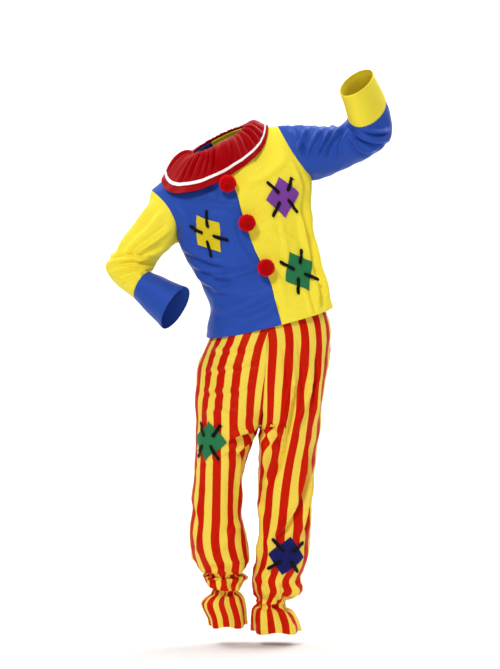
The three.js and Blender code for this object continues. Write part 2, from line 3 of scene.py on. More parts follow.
import bmesh
import bpy
import numpy as np
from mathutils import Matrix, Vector
from mathutils.kdtree import KDTree


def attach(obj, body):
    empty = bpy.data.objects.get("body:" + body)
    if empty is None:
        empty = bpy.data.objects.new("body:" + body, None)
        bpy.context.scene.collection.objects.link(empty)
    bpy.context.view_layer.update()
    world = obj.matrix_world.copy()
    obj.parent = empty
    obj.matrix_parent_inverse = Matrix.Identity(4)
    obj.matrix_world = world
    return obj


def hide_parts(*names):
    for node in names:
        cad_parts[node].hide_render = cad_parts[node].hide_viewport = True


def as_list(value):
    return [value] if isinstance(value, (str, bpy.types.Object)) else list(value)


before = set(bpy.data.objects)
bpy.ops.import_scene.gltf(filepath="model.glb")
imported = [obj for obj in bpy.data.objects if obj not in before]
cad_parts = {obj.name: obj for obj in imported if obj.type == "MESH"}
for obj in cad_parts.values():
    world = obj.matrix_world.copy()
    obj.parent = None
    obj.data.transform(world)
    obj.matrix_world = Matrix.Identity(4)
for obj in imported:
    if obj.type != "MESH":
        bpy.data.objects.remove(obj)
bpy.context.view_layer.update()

bl_info = {
    "name": "Clown costume",
    "version": (1, 0, 0),
    "blender": (4, 5, 0),
    "location": "View3D > Sidebar > Costume",
    "description": "Sews a worn clown costume: tunic, ruff collar, pompoms, patches and striped trousers",
    "category": "Add Mesh",
}

MM = 0.001
PI = math.pi
TINY = 1e-6  # a step that is too small to show
BEHIND_LEFT_SEAM = 1 + 1e-9
CLOTH_UNIT = 100  # millimetres of cloth in one unit of its own coordinates

# ---------------------------------------------------------------- the cut, in millimetres
# The same rows and rings as the solids: x to the wearer's left, z up, the front faces -y.
NECK_CENTRE = np.array([12.0, 0.0, 21.0])
NECK_HALF_WIDTH = 66
NECK_HALF_DEPTH = 52
NECK_TILT = math.radians(27)
NECK_FRONT_DIP = 0.28
NECK_FROM = 0.36
NECK_TO = 0.67
NECK_DROP = 2.8

ARMPIT_ROW = 3
HEM_ROW = 8
ARMHOLE_HALF_WIDTH = 48
ARMHOLE_FLATNESS = 0.6
ARMHOLE_FULLNESS = 0.8
CHEST_FULLNESS = 0.85
HEM_DIP = 12
TUNIC_ROWS = [
    [-144, -92, 146, 55, 97, 90, 0.53],
    [-110, -126, 180, -8, 97, 90, 0.5],
    [-88, -167, 207, -46, 97, 90, 0.48],
    [-81, -213, 225, -71, 97, 90, 0.475],
    [-54, -270, 222, -142, 95, 86, 0.5],
    [-25, -321, 226, -200, 93, 84, 0.53],
    [-7, -362, 242, -248, 94, 89, 0.55],
    [-15, -400, 258, -305, 100, 99, 0.575],
    [-16, -431, 271, -363, 106, 107, 0.594],
]
RIGHT_RINGS = [
    [-160, -143, -95, -222, 0, 50, 0, 0],
    [-187, -182, -116, -237, 3, 49, 0, 0],
    [-224, -226, -129, -254, 6, 47, 0, 0],
    [-248, -268, -134, -265, 8, 46, 2, -2],
    [-223, -311, -138, -273, 1, 46, 6, -5],
    [-182, -343, -145, -280, -10, 44, 10, -7],
    [-150, -375, -104, -298, -23, 46, 13, -9],
    [-116, -410, -59, -318, -38, 50, 15, -10],
]
LEFT_RINGS = [
    [190, 59, 262, -62, 0, 52, 0, 0],
    [235, 55, 307, -42, -2, 48, 0, 0],
    [272, 54, 352, -22, -8, 47, 0, 5],
    [296, 60, 391, 6, -16, 47, 0, 16],
    [306, 67, 410, 42, -30, 46, 4, 30],
    [307, 74, 394, 98, -52, 42, 7, 40],
    [297, 101, 378, 130, -80, 43, 7, 36],
    [286, 130, 361, 160, -108, 46, 8, 31],
]
CUFF_SEAM_RING = 6
CUFF_END_RING = 8

FORK_ROW = 4
FORK_BEGINS = 3
FORK_LINE = [[128, -322], [124, -408], [120, -480], [114, -552], [106, -640]]
SEAT_DEPTHS = [[80, 84], [98, 100], [102, 112], [99, 112], [90, 100], [80, 88]]
RIGHT_OUTSEAM = [
    [28, -346], [-8, -430], [-35, -495], [-40, -558], [-41, -625], [-43, -690], [-48, -759], [-54, -836],
    [-57, -898], [-46, -944], [-24, -963], [-29, -985], [-6, -1013], [-31, -1042], [-18, -1076], [-14, -1097],
]
RIGHT_INSEAM = [
    [105.4, -640], [82, -692], [66, -759], [63, -836],
    [74, -890], [82, -942], [65, -966], [79, -984], [58, -1007], [71, -1034], [76, -1066], [76, -1096],
]
RIGHT_LEG_DEPTHS = [
    [71, 76], [67, 70], [69, 70], [69, 70], [52, 52], [56, 56], [36, 37], [50, 50], [56, 54], [58, 55],
]
LEFT_OUTSEAM = [
    [228, -298], [264, -384], [270, -456], [257, -530], [247, -605], [239, -680], [232, -745], [227, -815],
    [221, -880], [217, -930], [208, -962], [197, -990],
    [204, -1016], [163, -1042], [184, -1060], [198, -1085], [203, -1110],
]
LEFT_INSEAM = [
    [106.6, -640], [105, -692], [103, -750], [101, -815],
    [103, -865], [98, -925], [92, -965], [87, -986], [87, -1010],
    [99, -1038], [87, -1058], [83, -1085], [84, -1110],
]
LEFT_LEG_DEPTHS = [
    [74, 78], [70, 72], [68, 70], [68, 70], [66, 66], [60, 60],
    [62, 60], [38, 38], [50, 48], [58, 54], [60, 56],
]
FRILL_WAVES = 4
FRILL_WAVE_HEIGHT = 3.5
GATHER_REACH = 2.5  # rows over which an ankle gather fades out
FRILL_REACH = 2
ROWS_BELOW_ANKLE = 4

COLLAR_CENTRE = [3, 0, -8]
COLLAR_HALF_LENGTH = 134
COLLAR_TILT = math.radians(24)
COLLAR_FRONT = [92, 74]
COLLAR_BACK = [86, 30]
COLLAR_STAND = 13
RIBBON_FROM = 0.8
RIBBON_TO = 0.88

POMPOM_PLACES = {"top": [37, -86, 22], "middle": [76, -172, 19.3], "bottom": [118, -274, 19.3]}

PATCH_WIDTH = 60
PATCH_HEIGHT = 66


# ---------------------------------------------------------------- the surfaces that the cloth follows

def lerp(a, b, t):
    return a + (b - a) * t


def turn_between(before, b, c, after, f):
    """Smooth curve from b to c, for f from 0 to 1."""
    leave = (c - before) / 2
    arrive = (after - b) / 2
    bend = 2 * (b - c) + leave + arrive
    return b + f * (leave + f * (c - b - leave - bend + f * bend))


def along(rows, t):
    """A smooth curve through rows of numbers, one row for each whole number t."""
    rows = np.asarray(rows, float)
    t = np.asarray(t, float)
    last = len(rows) - 1
    i = np.clip(np.floor(t).astype(int), 0, last - 1)
    f = (t - i)[..., None]
    value = turn_between(rows[np.maximum(i - 1, 0)], rows[i], rows[i + 1], rows[np.minimum(i + 2, last)], f)
    return np.moveaxis(value, -1, 0)


def neck_edge(angle, drop):
    side = NECK_HALF_WIDTH * np.cos(angle)
    forward = -NECK_HALF_DEPTH * np.sin(angle)
    return np.stack([
        NECK_CENTRE[0] + side * math.cos(NECK_TILT),
        -forward,
        NECK_CENTRE[2] + side * math.sin(NECK_TILT) - forward * NECK_FRONT_DIP - drop,
    ], -1)


def shoulder_line(across, side):
    """Top row of the tunic: shoulder seam, neckline, shoulder seam."""
    across = across[..., None]
    first = TUNIC_ROWS[0]
    right_tip = np.array([first[0], 0, first[1]])
    left_tip = np.array([first[2], 0, first[3]])
    share = np.clip((across - NECK_FROM) / (NECK_TO - NECK_FROM), 0, 1)
    angle = (PI + PI * share)[..., 0] * -side
    neck = neck_edge(angle, NECK_DROP)
    right = lerp(right_tip, neck_edge(np.array(PI), NECK_DROP), across / NECK_FROM)
    left = lerp(left_tip, neck_edge(np.array(0.0), NECK_DROP), (1 - across) / (1 - NECK_TO))
    return np.where(across < NECK_FROM, right, np.where(across > NECK_TO, left, neck))


def width_share(across, v):
    armhole = np.sin(PI * np.minimum(v / ARMPIT_ROW, 1))
    return lerp((1 - np.cos(PI * across)) / 2, across, ARMHOLE_FLATNESS * armhole)


def tunic(u, v):
    """u: 0 right side seam, 1 left side seam, 1 to 2 back round behind. v: 0 shoulders, 8 hem."""
    side = np.where(u > 1, 1.0, -1.0)
    across = np.clip(np.where(u > 1, 2 - u, u), 0, 1)
    right_x, right_z, left_x, left_z, front, back, _ = along(TUNIC_ROWS, v)
    w = np.clip(v / ARMPIT_ROW, 0, 1)
    rise = (np.sin(PI / 2 * w) + np.sqrt(np.maximum(w * (2 - w), 0))) / 2
    depth = np.where(side < 0, front, back) * rise
    gap = ARMHOLE_HALF_WIDTH * np.maximum(np.sin(PI * w), 0) ** ARMHOLE_FULLNESS
    share = width_share(across, v)
    swell = np.maximum(np.sin(PI * across), 0) ** CHEST_FULLNESS
    dip = np.where(side < 0, HEM_DIP * np.sin(PI * across) * (v / HEM_ROW) ** 2, 0)
    point = np.stack([
        lerp(right_x, left_x, share),
        side * (gap + (depth - gap) * swell),
        lerp(right_z, left_z, share) - dip,
    ], -1)
    flat = (1 - np.cos(PI * across)) / 2
    first = TUNIC_ROWS[0]
    ridge = np.stack([lerp(first[0], first[2], flat), 0 * flat, lerp(first[1], first[3], flat)], -1)
    return point + (shoulder_line(across, side) - ridge) * ((1 - w) ** 2)[..., None]


def centre_seam(v):
    """u of the centre front seam at row v."""
    share = along(TUNIC_ROWS, v)[6]
    low = np.zeros_like(share)
    high = np.ones_like(share)
    for _ in range(30):
        middle = (low + high) / 2
        short = width_share(middle, v) < share
        low = np.where(short, middle, low)
        high = np.where(short, high, middle)
    return low


def sleeve(rings, front_u, back_u):
    """A sleeve from the armhole's own loop through its rings. u: 0 on top, 0.5 under the arm."""
    table = np.asarray(rings, float)

    def ring(k, u):
        loop_u = np.where(u <= 0.5, front_u, back_u)
        loop = tunic(loop_u, ARMPIT_ROW * 2 * np.minimum(u, 1 - u))
        row = table[np.clip(k, 1, len(table)) - 1]
        top_x, top_z, under_x, under_z, y, depth, lean_x, lean_z = np.moveaxis(row, -1, 0)
        c = np.cos(2 * PI * u)
        s = np.sin(2 * PI * u)
        shape = np.stack([
            lerp(under_x, top_x, (1 + c) / 2) - lean_x * s,
            y - depth * s,
            lerp(under_z, top_z, (1 + c) / 2) - lean_z * s,
        ], -1)
        return np.where((k <= 0)[..., None], loop, shape)

    def surface(u, v):
        u, v = np.broadcast_arrays(u, v)
        turn = u - np.floor(u)
        k = np.clip(np.floor(v).astype(int), 0, len(rings) - 1)
        before, b, c, after = (ring(k + n, turn) for n in (-1, 0, 1, 2))
        return turn_between(before, b, c, after, (v - k)[..., None])

    return surface


def leg(outseam, inseam, lower_depths):
    """One trouser leg. u: 0 outer seam, 1 and -1 the centre seam or inseam, front and back."""
    depths = SEAT_DEPTHS + lower_depths
    ankle = len(outseam) - ROWS_BELOW_ANKLE

    def surface(u, v):
        u, v = np.broadcast_arrays(u, v)
        out_x, out_z = along(outseam, v)
        fork_x, fork_z = along(FORK_LINE, np.minimum(v, FORK_ROW))
        leg_x, leg_z = along(inseam, np.maximum(v - FORK_ROW, 0))
        above = v < FORK_ROW
        turn = np.clip(v - FORK_BEGINS, 0, 1)
        fork_drop = FORK_LINE[FORK_ROW][1] - FORK_LINE[FORK_BEGINS][1]
        in_x = np.where(above, fork_x, leg_x)
        in_z = np.where(above, fork_z, leg_z) + fork_drop * (np.sin(PI / 2 * turn) - turn)
        end = PI / 2 * (1 + turn)
        angle = end * np.abs(u)
        share = (1 - np.cos(angle)) / (1 - np.cos(end))
        front, back = along(depths, v)
        gathered = np.maximum(0, 1 - np.abs(v - ankle) / GATHER_REACH)
        gathered = gathered + np.maximum(0, v - ankle - 1) / FRILL_REACH
        wave = FRILL_WAVE_HEIGHT * np.minimum(gathered, 1) * (np.cos(2 * PI * FRILL_WAVES * u) - 1)
        depth = np.where(u < 0, back, -front)
        side = np.sign(out_x - in_x)
        swell = wave * np.sin(angle) / np.maximum(np.abs(depth), 1)
        return np.stack([
            lerp(out_x, in_x, share) + side * wave * np.cos(angle),
            depth * (np.sin(angle) + swell),
            lerp(out_z, in_z, share),
        ], -1)

    return surface


NORMAL_STEP = 1e-3
ALL_ROUND = (-9, 9)  # a range that u never leaves
ANYWHERE = (*ALL_ROUND, 0, 99)


def length_of(vector):
    """Lengths of vectors, never quite zero."""
    return np.maximum(np.linalg.norm(vector, axis=-1, keepdims=True), 1e-12)


def unit(vector):
    return vector / length_of(vector)


def outward(surface, u, v, side, limits=ANYWHERE):
    """Outward unit normal of surface(u, v), by small steps that stay inside its ranges."""
    h = NORMAL_STEP
    u0, u1, v0, v1 = limits
    du = surface(np.minimum(u + h, u1), v) - surface(np.maximum(u - h, u0), v)
    dv = surface(u, np.minimum(v + h, v1)) - surface(u, np.maximum(v - h, v0))
    return unit(np.cross(dv, du) * side)


def collar_outer_edge(angle):
    side = COLLAR_HALF_LENGTH * np.cos(angle)
    forward = -np.sign(np.sin(angle)) * np.abs(np.sin(angle)) ** 0.8
    reach = np.where(forward > 0, COLLAR_FRONT[0], COLLAR_BACK[0])
    fall = np.where(forward > 0, COLLAR_FRONT[1], COLLAR_BACK[1])
    return np.stack([
        COLLAR_CENTRE[0] + side * math.cos(COLLAR_TILT),
        -reach * forward,
        COLLAR_CENTRE[2] + side * math.sin(COLLAR_TILT) - fall * np.abs(forward),
    ], -1)


def collar_line(u, v):
    """u goes once round the neck, v from the neck edge to the outer edge."""
    angle = PI + 2 * PI * u
    point = lerp(neck_edge(angle, 0), collar_outer_edge(angle), v[..., None])
    point[..., 2] += COLLAR_STAND * np.sin(PI * v ** 0.75)
    return point


RIGHT_SLEEVE = sleeve(RIGHT_RINGS, 0.0, 2.0)
LEFT_SLEEVE = sleeve(LEFT_RINGS, 1.0, BEHIND_LEFT_SEAM)
RIGHT_LEG = leg(RIGHT_OUTSEAM, RIGHT_INSEAM, RIGHT_LEG_DEPTHS)
LEFT_LEG = leg(LEFT_OUTSEAM, LEFT_INSEAM, LEFT_LEG_DEPTHS)

# ---------------------------------------------------------------- folds, each laid one by one
# A fold is (path of x and z in millimetres, height, half width, side that the trough is on).
BLUE_FOLDS = [
    ([[-84, -214], [-48, -238], [-8, -256], [34, -266]], 5, 8, -1),
    ([[-66, -246], [-34, -268], [6, -286], [60, -300]], 4, 9, -1),
    ([[-52, -270], [-22, -300], [18, -322], [70, -334]], 3.5, 9, -1),
    ([[-36, -296], [16, -290], [66, -284], [106, -270]], 3, 6, 1),
    ([[-20, -330], [30, -318], [84, -300], [122, -284]], 2.5, 7, 1),
    ([[-2, -372], [40, -366], [92, -346], [136, -322]], 3.5, 12, -1),
    ([[12, -418], [60, -398], [110, -380], [148, -352]], 3, 12, -1),
    ([[-96, -130], [-70, -160], [-66, -196], [-72, -214]], 2.5, 8, 1),
    ([[-40, -120], [0, -128], [40, -134], [66, -150]], 2, 9, -1),
    ([[40, -160], [48, -200], [66, -236], [96, -262]], 2, 9, 1),
]
YELLOW_FOLDS = [
    ([[192, -130], [202, -190], [218, -260], [232, -320], [240, -376]], 8, 8, 1),
    ([[219, -70], [218, -150], [232, -230], [250, -300], [264, -368]], 6, 8, -1),
    ([[90, -176], [120, -158], [150, -150], [182, -158]], 1.4, 5, -1),
    ([[94, -184], [126, -186], [160, -196], [190, -214]], 1.6, 5, -1),
    ([[96, -192], [122, -214], [142, -240], [150, -276]], 1.7, 6, -1),
    ([[88, -170], [104, -146], [124, -126], [146, -100]], 1.2, 5, 1),
    ([[150, -160], [160, -200], [166, -250], [164, -300]], 1.6, 8, -1),
    ([[132, -270], [150, -300], [158, -340], [160, -388]], 2, 10, -1),
    ([[206, -318], [212, -340], [218, -362], [222, -380]], 3.5, 7, 1),
    ([[178, -20], [192, -60], [204, -100], [206, -150]], 2.2, 8, 1),
    ([[60, -80], [100, -74], [140, -50], [170, -20]], 2, 10, -1),
]
RIGHT_SLEEVE_FOLDS = [
    ([[-132, -112], [-162, -152], [-196, -196], [-226, -244]], 4.5, 9, -1),
    ([[-112, -140], [-144, -178], [-180, -214], [-214, -254]], 4, 9, -1),
    ([[-96, -180], [-130, -206], [-166, -232], [-196, -262]], 4.5, 8, -1),
    ([[-104, -222], [-134, -238], [-164, -250], [-192, -270]], 4, 7, -1),
    ([[-244, -262], [-214, -254], [-178, -250], [-138, -256]], 5, 6, 1),
    ([[-242, -284], [-206, -272], [-170, -268], [-136, -272]], 4.5, 6, 1),
    ([[-230, -300], [-202, -290], [-176, -286], [-152, -288]], 4, 5, 1),
    ([[-212, -318], [-196, -306], [-180, -302], [-162, -304]], 3, 5, 1),
]
LEFT_SLEEVE_FOLDS = [
    ([[176, 50], [184, 28], [192, 4], [196, -22]], 3.5, 6, 1),
    ([[216, 52], [204, 30], [196, 6], [200, -20]], 4.5, 5, 1),
    ([[248, 50], [232, 26], [218, 2], [210, -28]], 4.5, 6, 1),
    ([[272, 50], [256, 26], [242, 2], [228, -26]], 4, 5, 1),
    ([[300, 56], [276, 32], [260, 6], [246, -24]], 5, 6, 1),
    ([[310, 44], [294, 20], [286, -2], [290, -26]], 4, 6, -1),
    ([[308, 30], [326, 4], [348, -6], [372, 0]], 4.5, 6, -1),
    ([[318, 40], [344, 24], [374, 16], [404, 22]], 6, 6, -1),
    ([[330, 46], [356, 38], [384, 36], [408, 46]], 5, 5, -1),
]
RIGHT_LEG_FOLDS = [
    ([[24, -668], [52, -650], [80, -640], [106, -626]], 9, 8, -1),
    ([[48, -700], [64, -682], [82, -664], [96, -648]], 5, 6, -1),
    ([[-30, -712], [4, -700], [36, -686], [62, -662]], 3, 8, -1),
    ([[-10, -462], [26, -458], [70, -456], [112, -446]], 3, 7, -1),
    ([[-26, -506], [20, -500], [64, -494], [108, -478]], 3.5, 7, -1),
    ([[-30, -548], [14, -552], [58, -548], [104, -530]], 3.5, 8, -1),
    ([[-24, -600], [20, -602], [60, -600], [98, -604]], 2.5, 8, 1),
    ([[64, -700], [58, -740], [60, -780], [62, -830]], 4, 6, 1),
    ([[-44, -800], [-30, -850], [-34, -900], [-40, -930]], 3.5, 8, -1),
    ([[68, -850], [40, -880], [20, -910], [6, -940]], 3, 10, -1),
    ([[-46, -950], [-10, -964], [34, -966], [76, -952]], 10, 8, -1),
    ([[-26, -990], [10, -1000], [46, -1006], [72, -996]], 8, 7, -1),
    ([[-24, -976], [-4, -984], [20, -972], [40, -968]], 4, 5, -1),
    ([[-12, -1016], [14, -1012], [40, -1012], [62, -1016]], 3, 5, -1),
]
LEFT_LEG_FOLDS = [
    ([[112, -626], [130, -656], [140, -690], [130, -736]], 7, 8, 1),
    ([[108, -650], [118, -680], [120, -706], [108, -740]], 5, 7, 1),
    ([[182, -520], [172, -580], [158, -650], [144, -710], [112, -768]], 10, 7, 1),
    ([[166, -440], [174, -480], [180, -530], [178, -580]], 4, 8, -1),
    ([[214, -660], [206, -730], [190, -800], [160, -860], [116, -910]], 9, 7, 1),
    ([[222, -720], [214, -790], [204, -850], [190, -890]], 7, 6, 1),
    ([[206, -430], [212, -480], [216, -540], [220, -600]], 4, 9, -1),
    ([[244, -430], [240, -500], [236, -560], [230, -640]], 5, 7, -1),
    ([[104, -800], [112, -850], [106, -900], [100, -940]], 5, 6, -1),
    ([[236, -420], [226, -500], [206, -590], [178, -660]], 4, 7, 1),
    ([[138, -800], [134, -850], [126, -900], [112, -950]], 4, 6, -1),
    ([[90, -994], [106, -976], [128, -958], [146, -950]], 4, 8, -1),
    ([[206, -1028], [186, -1040], [164, -1044], [150, -1036]], 9, 8, -1),
    ([[92, -1032], [112, -1040], [134, -1036], [154, -1040]], 5, 6, -1),
    ([[190, -976], [196, -996], [192, -1014], [178, -1028]], 4, 8, 1),
    ([[112, -990], [116, -1006], [120, -1020], [122, -1034]], 3.5, 6, 1),
    ([[150, -990], [148, -1006], [150, -1022], [152, -1036]], 3.5, 6, 1),
    ([[150, -1050], [164, -1062], [172, -1078], [178, -1094]], 4, 6, 1),
]
FELT = 1.5
NUDGE = 1e-3
LAID_ON = 1.15
PATCH_CALM = 46  # a felt patch stiffens the cloth this far round its middle
PATCH_FLATTENS = 0.75
BAR_HALF = 3.9
BAR_IN = 18
BAR_OUT = 20
BAR_STIFFNESS = 5  # rows of its own grid over which a bar bridges the folds
# host, x and z, tilt and lean in degrees, slot, slants of the four bars, first guess of u and v
PATCHES = {
    "patch_chest_right": ("tunic_right", [-12, -196], (-16, 19), "yellow_felt", [4, 0, 10, -8], [0.3, 3.2]),
    "patch_chest_left": ("tunic_left", [158, -111], (-41, 9), "purple_felt", [8, -4, 6, -8], [0.7, 3]),
    "patch_belly_left": ("tunic_left", [194, -281], (-20, 12), "green_felt", [-6, 4, 6, -8], [0.7, 6]),
    "patch_thigh_right": ("leg_right", [-11, -666], (-51, 0), "green_felt", [6, -6, 4, -4], [0.35, 4.6]),
    "patch_shin_left": ("leg_left", [166, -929], (-54, 0), "navy_felt", [-6, 4, -6, 6], [0.5, 9]),
}

HIDDEN_SIDE_SHIFT = (9.0, -16.0)  # the folds behind lie a little off those in front
HIDDEN_SIDE_SHARE = 0.8
FOLD_SHARPNESS = 0.8
FOLD_STEPS = 7  # straight steps from one point of a fold's path to the next
FOLD_REACH = 5  # half widths within which a fold is felt
TROUGH_AWAY = 1.7  # half widths from the ridge to its trough
TROUGH_WIDTH = 0.9
TROUGH_DEPTH = 0.75
FAR = 1e9
SWELLING = ((90, 1.1), (34, 0.3))  # size and height of the cloth's uneven swelling
SWELLING_WAVES = 7
SEAM_GROOVE = 1.5
ARMHOLE_GROOVE = 0.15
GROOVE_WIDTH = 2.2
SEAM_GAP = 0.15
PUCKER_PITCH = 9.0
PUCKER_HEIGHT = 0.35
PUCKER_REACH = 8
PUCKER_DRIFT = 31.0
HEM_TURN = 14.0
HEM_HEIGHT = 0.5
SHARP_EDGE = math.radians(58)


def smooth(x):
    x = np.clip(x, 0, 1)
    return x * x * (3 - 2 * x)


def folded(x, z, folds):
    """Height of the cloth over its plain form at (x, z)."""
    total = np.zeros(x.shape)
    for path, height, width, side in folds:
        t = np.linspace(0, len(path) - 1, FOLD_STEPS * (len(path) - 1) + 1)
        px, pz = along(path, t)
        reach = FOLD_REACH * width
        near = (x > px.min() - reach) & (x < px.max() + reach)
        near &= (z > pz.min() - reach) & (z < pz.max() + reach)
        qx, qz = x[near], z[near]
        best = np.full(qx.shape, FAR)
        share = np.zeros(qx.shape)
        off = np.zeros(qx.shape)
        for k in range(len(t) - 1):
            dx, dz = px[k + 1] - px[k], pz[k + 1] - pz[k]
            f = np.clip(((qx - px[k]) * dx + (qz - pz[k]) * dz) / (dx * dx + dz * dz), 0, 1)
            ox, oz = qx - px[k] - f * dx, qz - pz[k] - f * dz
            distance = np.hypot(ox, oz)
            closer = distance < best
            best = np.where(closer, distance, best)
            share = np.where(closer, (k + f) / (len(t) - 1), share)
            off = np.where(closer, np.sign(dx * oz - dz * ox) * distance, off)
        ends = smooth(3.2 * np.minimum(share, 1 - share) + 0.12)
        width = width * FOLD_SHARPNESS
        ridge = np.exp(-(off / width) ** 2)
        trough = np.exp(-((off - side * TROUGH_AWAY * width) / (TROUGH_WIDTH * width)) ** 2)
        total[near] += height * ends * (ridge - TROUGH_DEPTH * trough)
    return total


def ripples(point, size, height, seed):
    """Slow, uneven swelling of worn cloth."""
    draw = np.random.default_rng(seed)
    total = np.zeros(point.shape[:-1])
    for _ in range(SWELLING_WAVES):
        way = draw.normal(size=3)
        way /= np.linalg.norm(way)
        total += np.sin(point @ (way * 2 * PI / (size * draw.uniform(0.6, 1.5))) + draw.uniform(0, 2 * PI))
    return height * total / 2.6


def relief(point, frontness, folds, seed, strength):
    """Height of the folds and the swelling over the plain form. frontness is 1 in front and 0 behind."""
    x, z = point[..., 0], point[..., 2]
    shift_x, shift_z = HIDDEN_SIDE_SHIFT
    front = folded(x, z, folds)
    for _, place, *_ in PATCHES.values():
        away = ((x - place[0]) ** 2 + (z - place[1]) ** 2) / PATCH_CALM ** 2
        front = front * (1 - PATCH_FLATTENS * np.exp(-away ** 2))
    back = HIDDEN_SIDE_SHARE * folded(x + shift_x, z + shift_z, folds)
    total = lerp(back, front, frontness)
    for later, (size, height) in enumerate(SWELLING):
        total = total + ripples(point, size, height, seed + later)
    return strength * total


def grid_normals(point, closed, like):
    """Normals of a grid of points, on the same side as the vectors in like."""
    if closed:
        du = np.roll(point, -1, 0) - np.roll(point, 1, 0)
    else:
        du = np.gradient(point, axis=0)
    dv = np.gradient(point, axis=1)
    normal = unit(np.cross(dv, du))
    same = (normal * like).sum(-1, keepdims=True)
    return normal * np.where(same < 0, -1, 1)


def arc(point, axis):
    """Length along a grid of points from its first column or row."""
    step = np.linalg.norm(np.diff(point, axis=axis), axis=-1)
    zero = np.zeros_like(np.take(step, [0], axis))
    return np.concatenate([zero, np.cumsum(step, axis)], axis)


def area_of(point):
    du, dv = np.diff(point, axis=0)[:, :-1], np.diff(point, axis=1)[:-1]
    return float(np.linalg.norm(np.cross(du, dv), axis=-1).sum())


def shell(name, outer, inner, uv, closed, facing, material):
    """A closed thin wall between two grids of points, columns by rows. uv has one more column when closed."""
    columns, rows = outer.shape[:2]
    count = columns * rows
    index = np.arange(count).reshape(columns, rows)
    a = index if closed else index[:-1]
    b = np.roll(index, -1, 0) if closed else index[1:]
    uv_index = np.arange(uv.shape[0] * rows).reshape(-1, rows)
    p = uv_index[:a.shape[0]]
    q = uv_index[1:a.shape[0] + 1]

    def quads(w, x, y, z):
        return np.stack([w, x, y, z], -1).reshape(-1, 4)

    first, last = 0, rows - 1
    faces = [
        quads(a[:, :-1], a[:, 1:], b[:, 1:], b[:, :-1]),
        quads(b[:, :-1], b[:, 1:], a[:, 1:], a[:, :-1]) + count,
        quads(a[:, first], b[:, first], b[:, first] + count, a[:, first] + count),
        quads(b[:, last], a[:, last], a[:, last] + count, b[:, last] + count),
    ]
    coords = [
        quads(p[:, :-1], p[:, 1:], q[:, 1:], q[:, :-1]),
        quads(q[:, :-1], q[:, 1:], p[:, 1:], p[:, :-1]),
        quads(p[:, first], q[:, first], q[:, first], p[:, first]),
        quads(q[:, last], p[:, last], p[:, last], q[:, last]),
    ]
    if not closed:
        start, end = index[0], index[-1]
        faces.append(quads(start[1:], start[:-1], start[:-1] + count, start[1:] + count))
        faces.append(quads(end[:-1], end[1:], end[1:] + count, end[:-1] + count))
        s, e = uv_index[0], uv_index[-1]
        coords.append(quads(s[1:], s[:-1], s[:-1], s[1:]))
        coords.append(quads(e[:-1], e[1:], e[1:], e[:-1]))
    faces = np.concatenate(faces)
    coords = np.concatenate(coords)
    verts = np.concatenate([outer.reshape(-1, 3), inner.reshape(-1, 3)])
    half = count // 2 if closed else faces.shape[0] // 4
    corner = verts[faces[half]]
    across = np.cross(corner[2] - corner[0], corner[3] - corner[1])
    if across @ facing.reshape(-1, 3)[faces[half][0]] < 0:
        faces = faces[:, ::-1]
        coords = coords[:, ::-1]
    mesh = bpy.data.meshes.new(name)
    mesh.from_pydata(((verts - NECK_CENTRE) * MM).tolist(), [], faces.tolist())
    layer = mesh.uv_layers.new(name="cloth")
    layer.data.foreach_set("uv", uv.reshape(-1, 2)[coords.reshape(-1)].astype(np.float32).ravel())
    mesh.materials.append(material)
    mesh.polygons.foreach_set("use_smooth", [True] * len(faces))
    mesh.set_sharp_from_angle(angle=SHARP_EDGE)
    mesh.update()
    return linked(name, mesh)


def linked(name, mesh):
    piece = bpy.data.objects.new(name, mesh)
    bpy.context.scene.collection.objects.link(piece)
    return piece


def stand_for(piece, node, slot):
    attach(piece, "root")
    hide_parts(node)
    return piece


def ring_of(point, closed=True):
    """A closed grid of points with its first column once more at the end."""
    return np.concatenate([point, point[:1]]) if closed else point


def cut_of(outer, closed):
    """Width, length and area of the flat cut, in metres, from the sewn form."""
    ring = ring_of(outer, closed)
    width = arc(ring, 0)[-1].max() * MM
    length = arc(ring, 1)[:, -1].max() * MM
    return (width, length), min(area_of(ring) * MM * MM, width * length)


def upright(normal):
    """The normals turned into the body's middle plane."""
    flat = normal.copy()
    flat[..., 1] = 0
    return unit(flat)


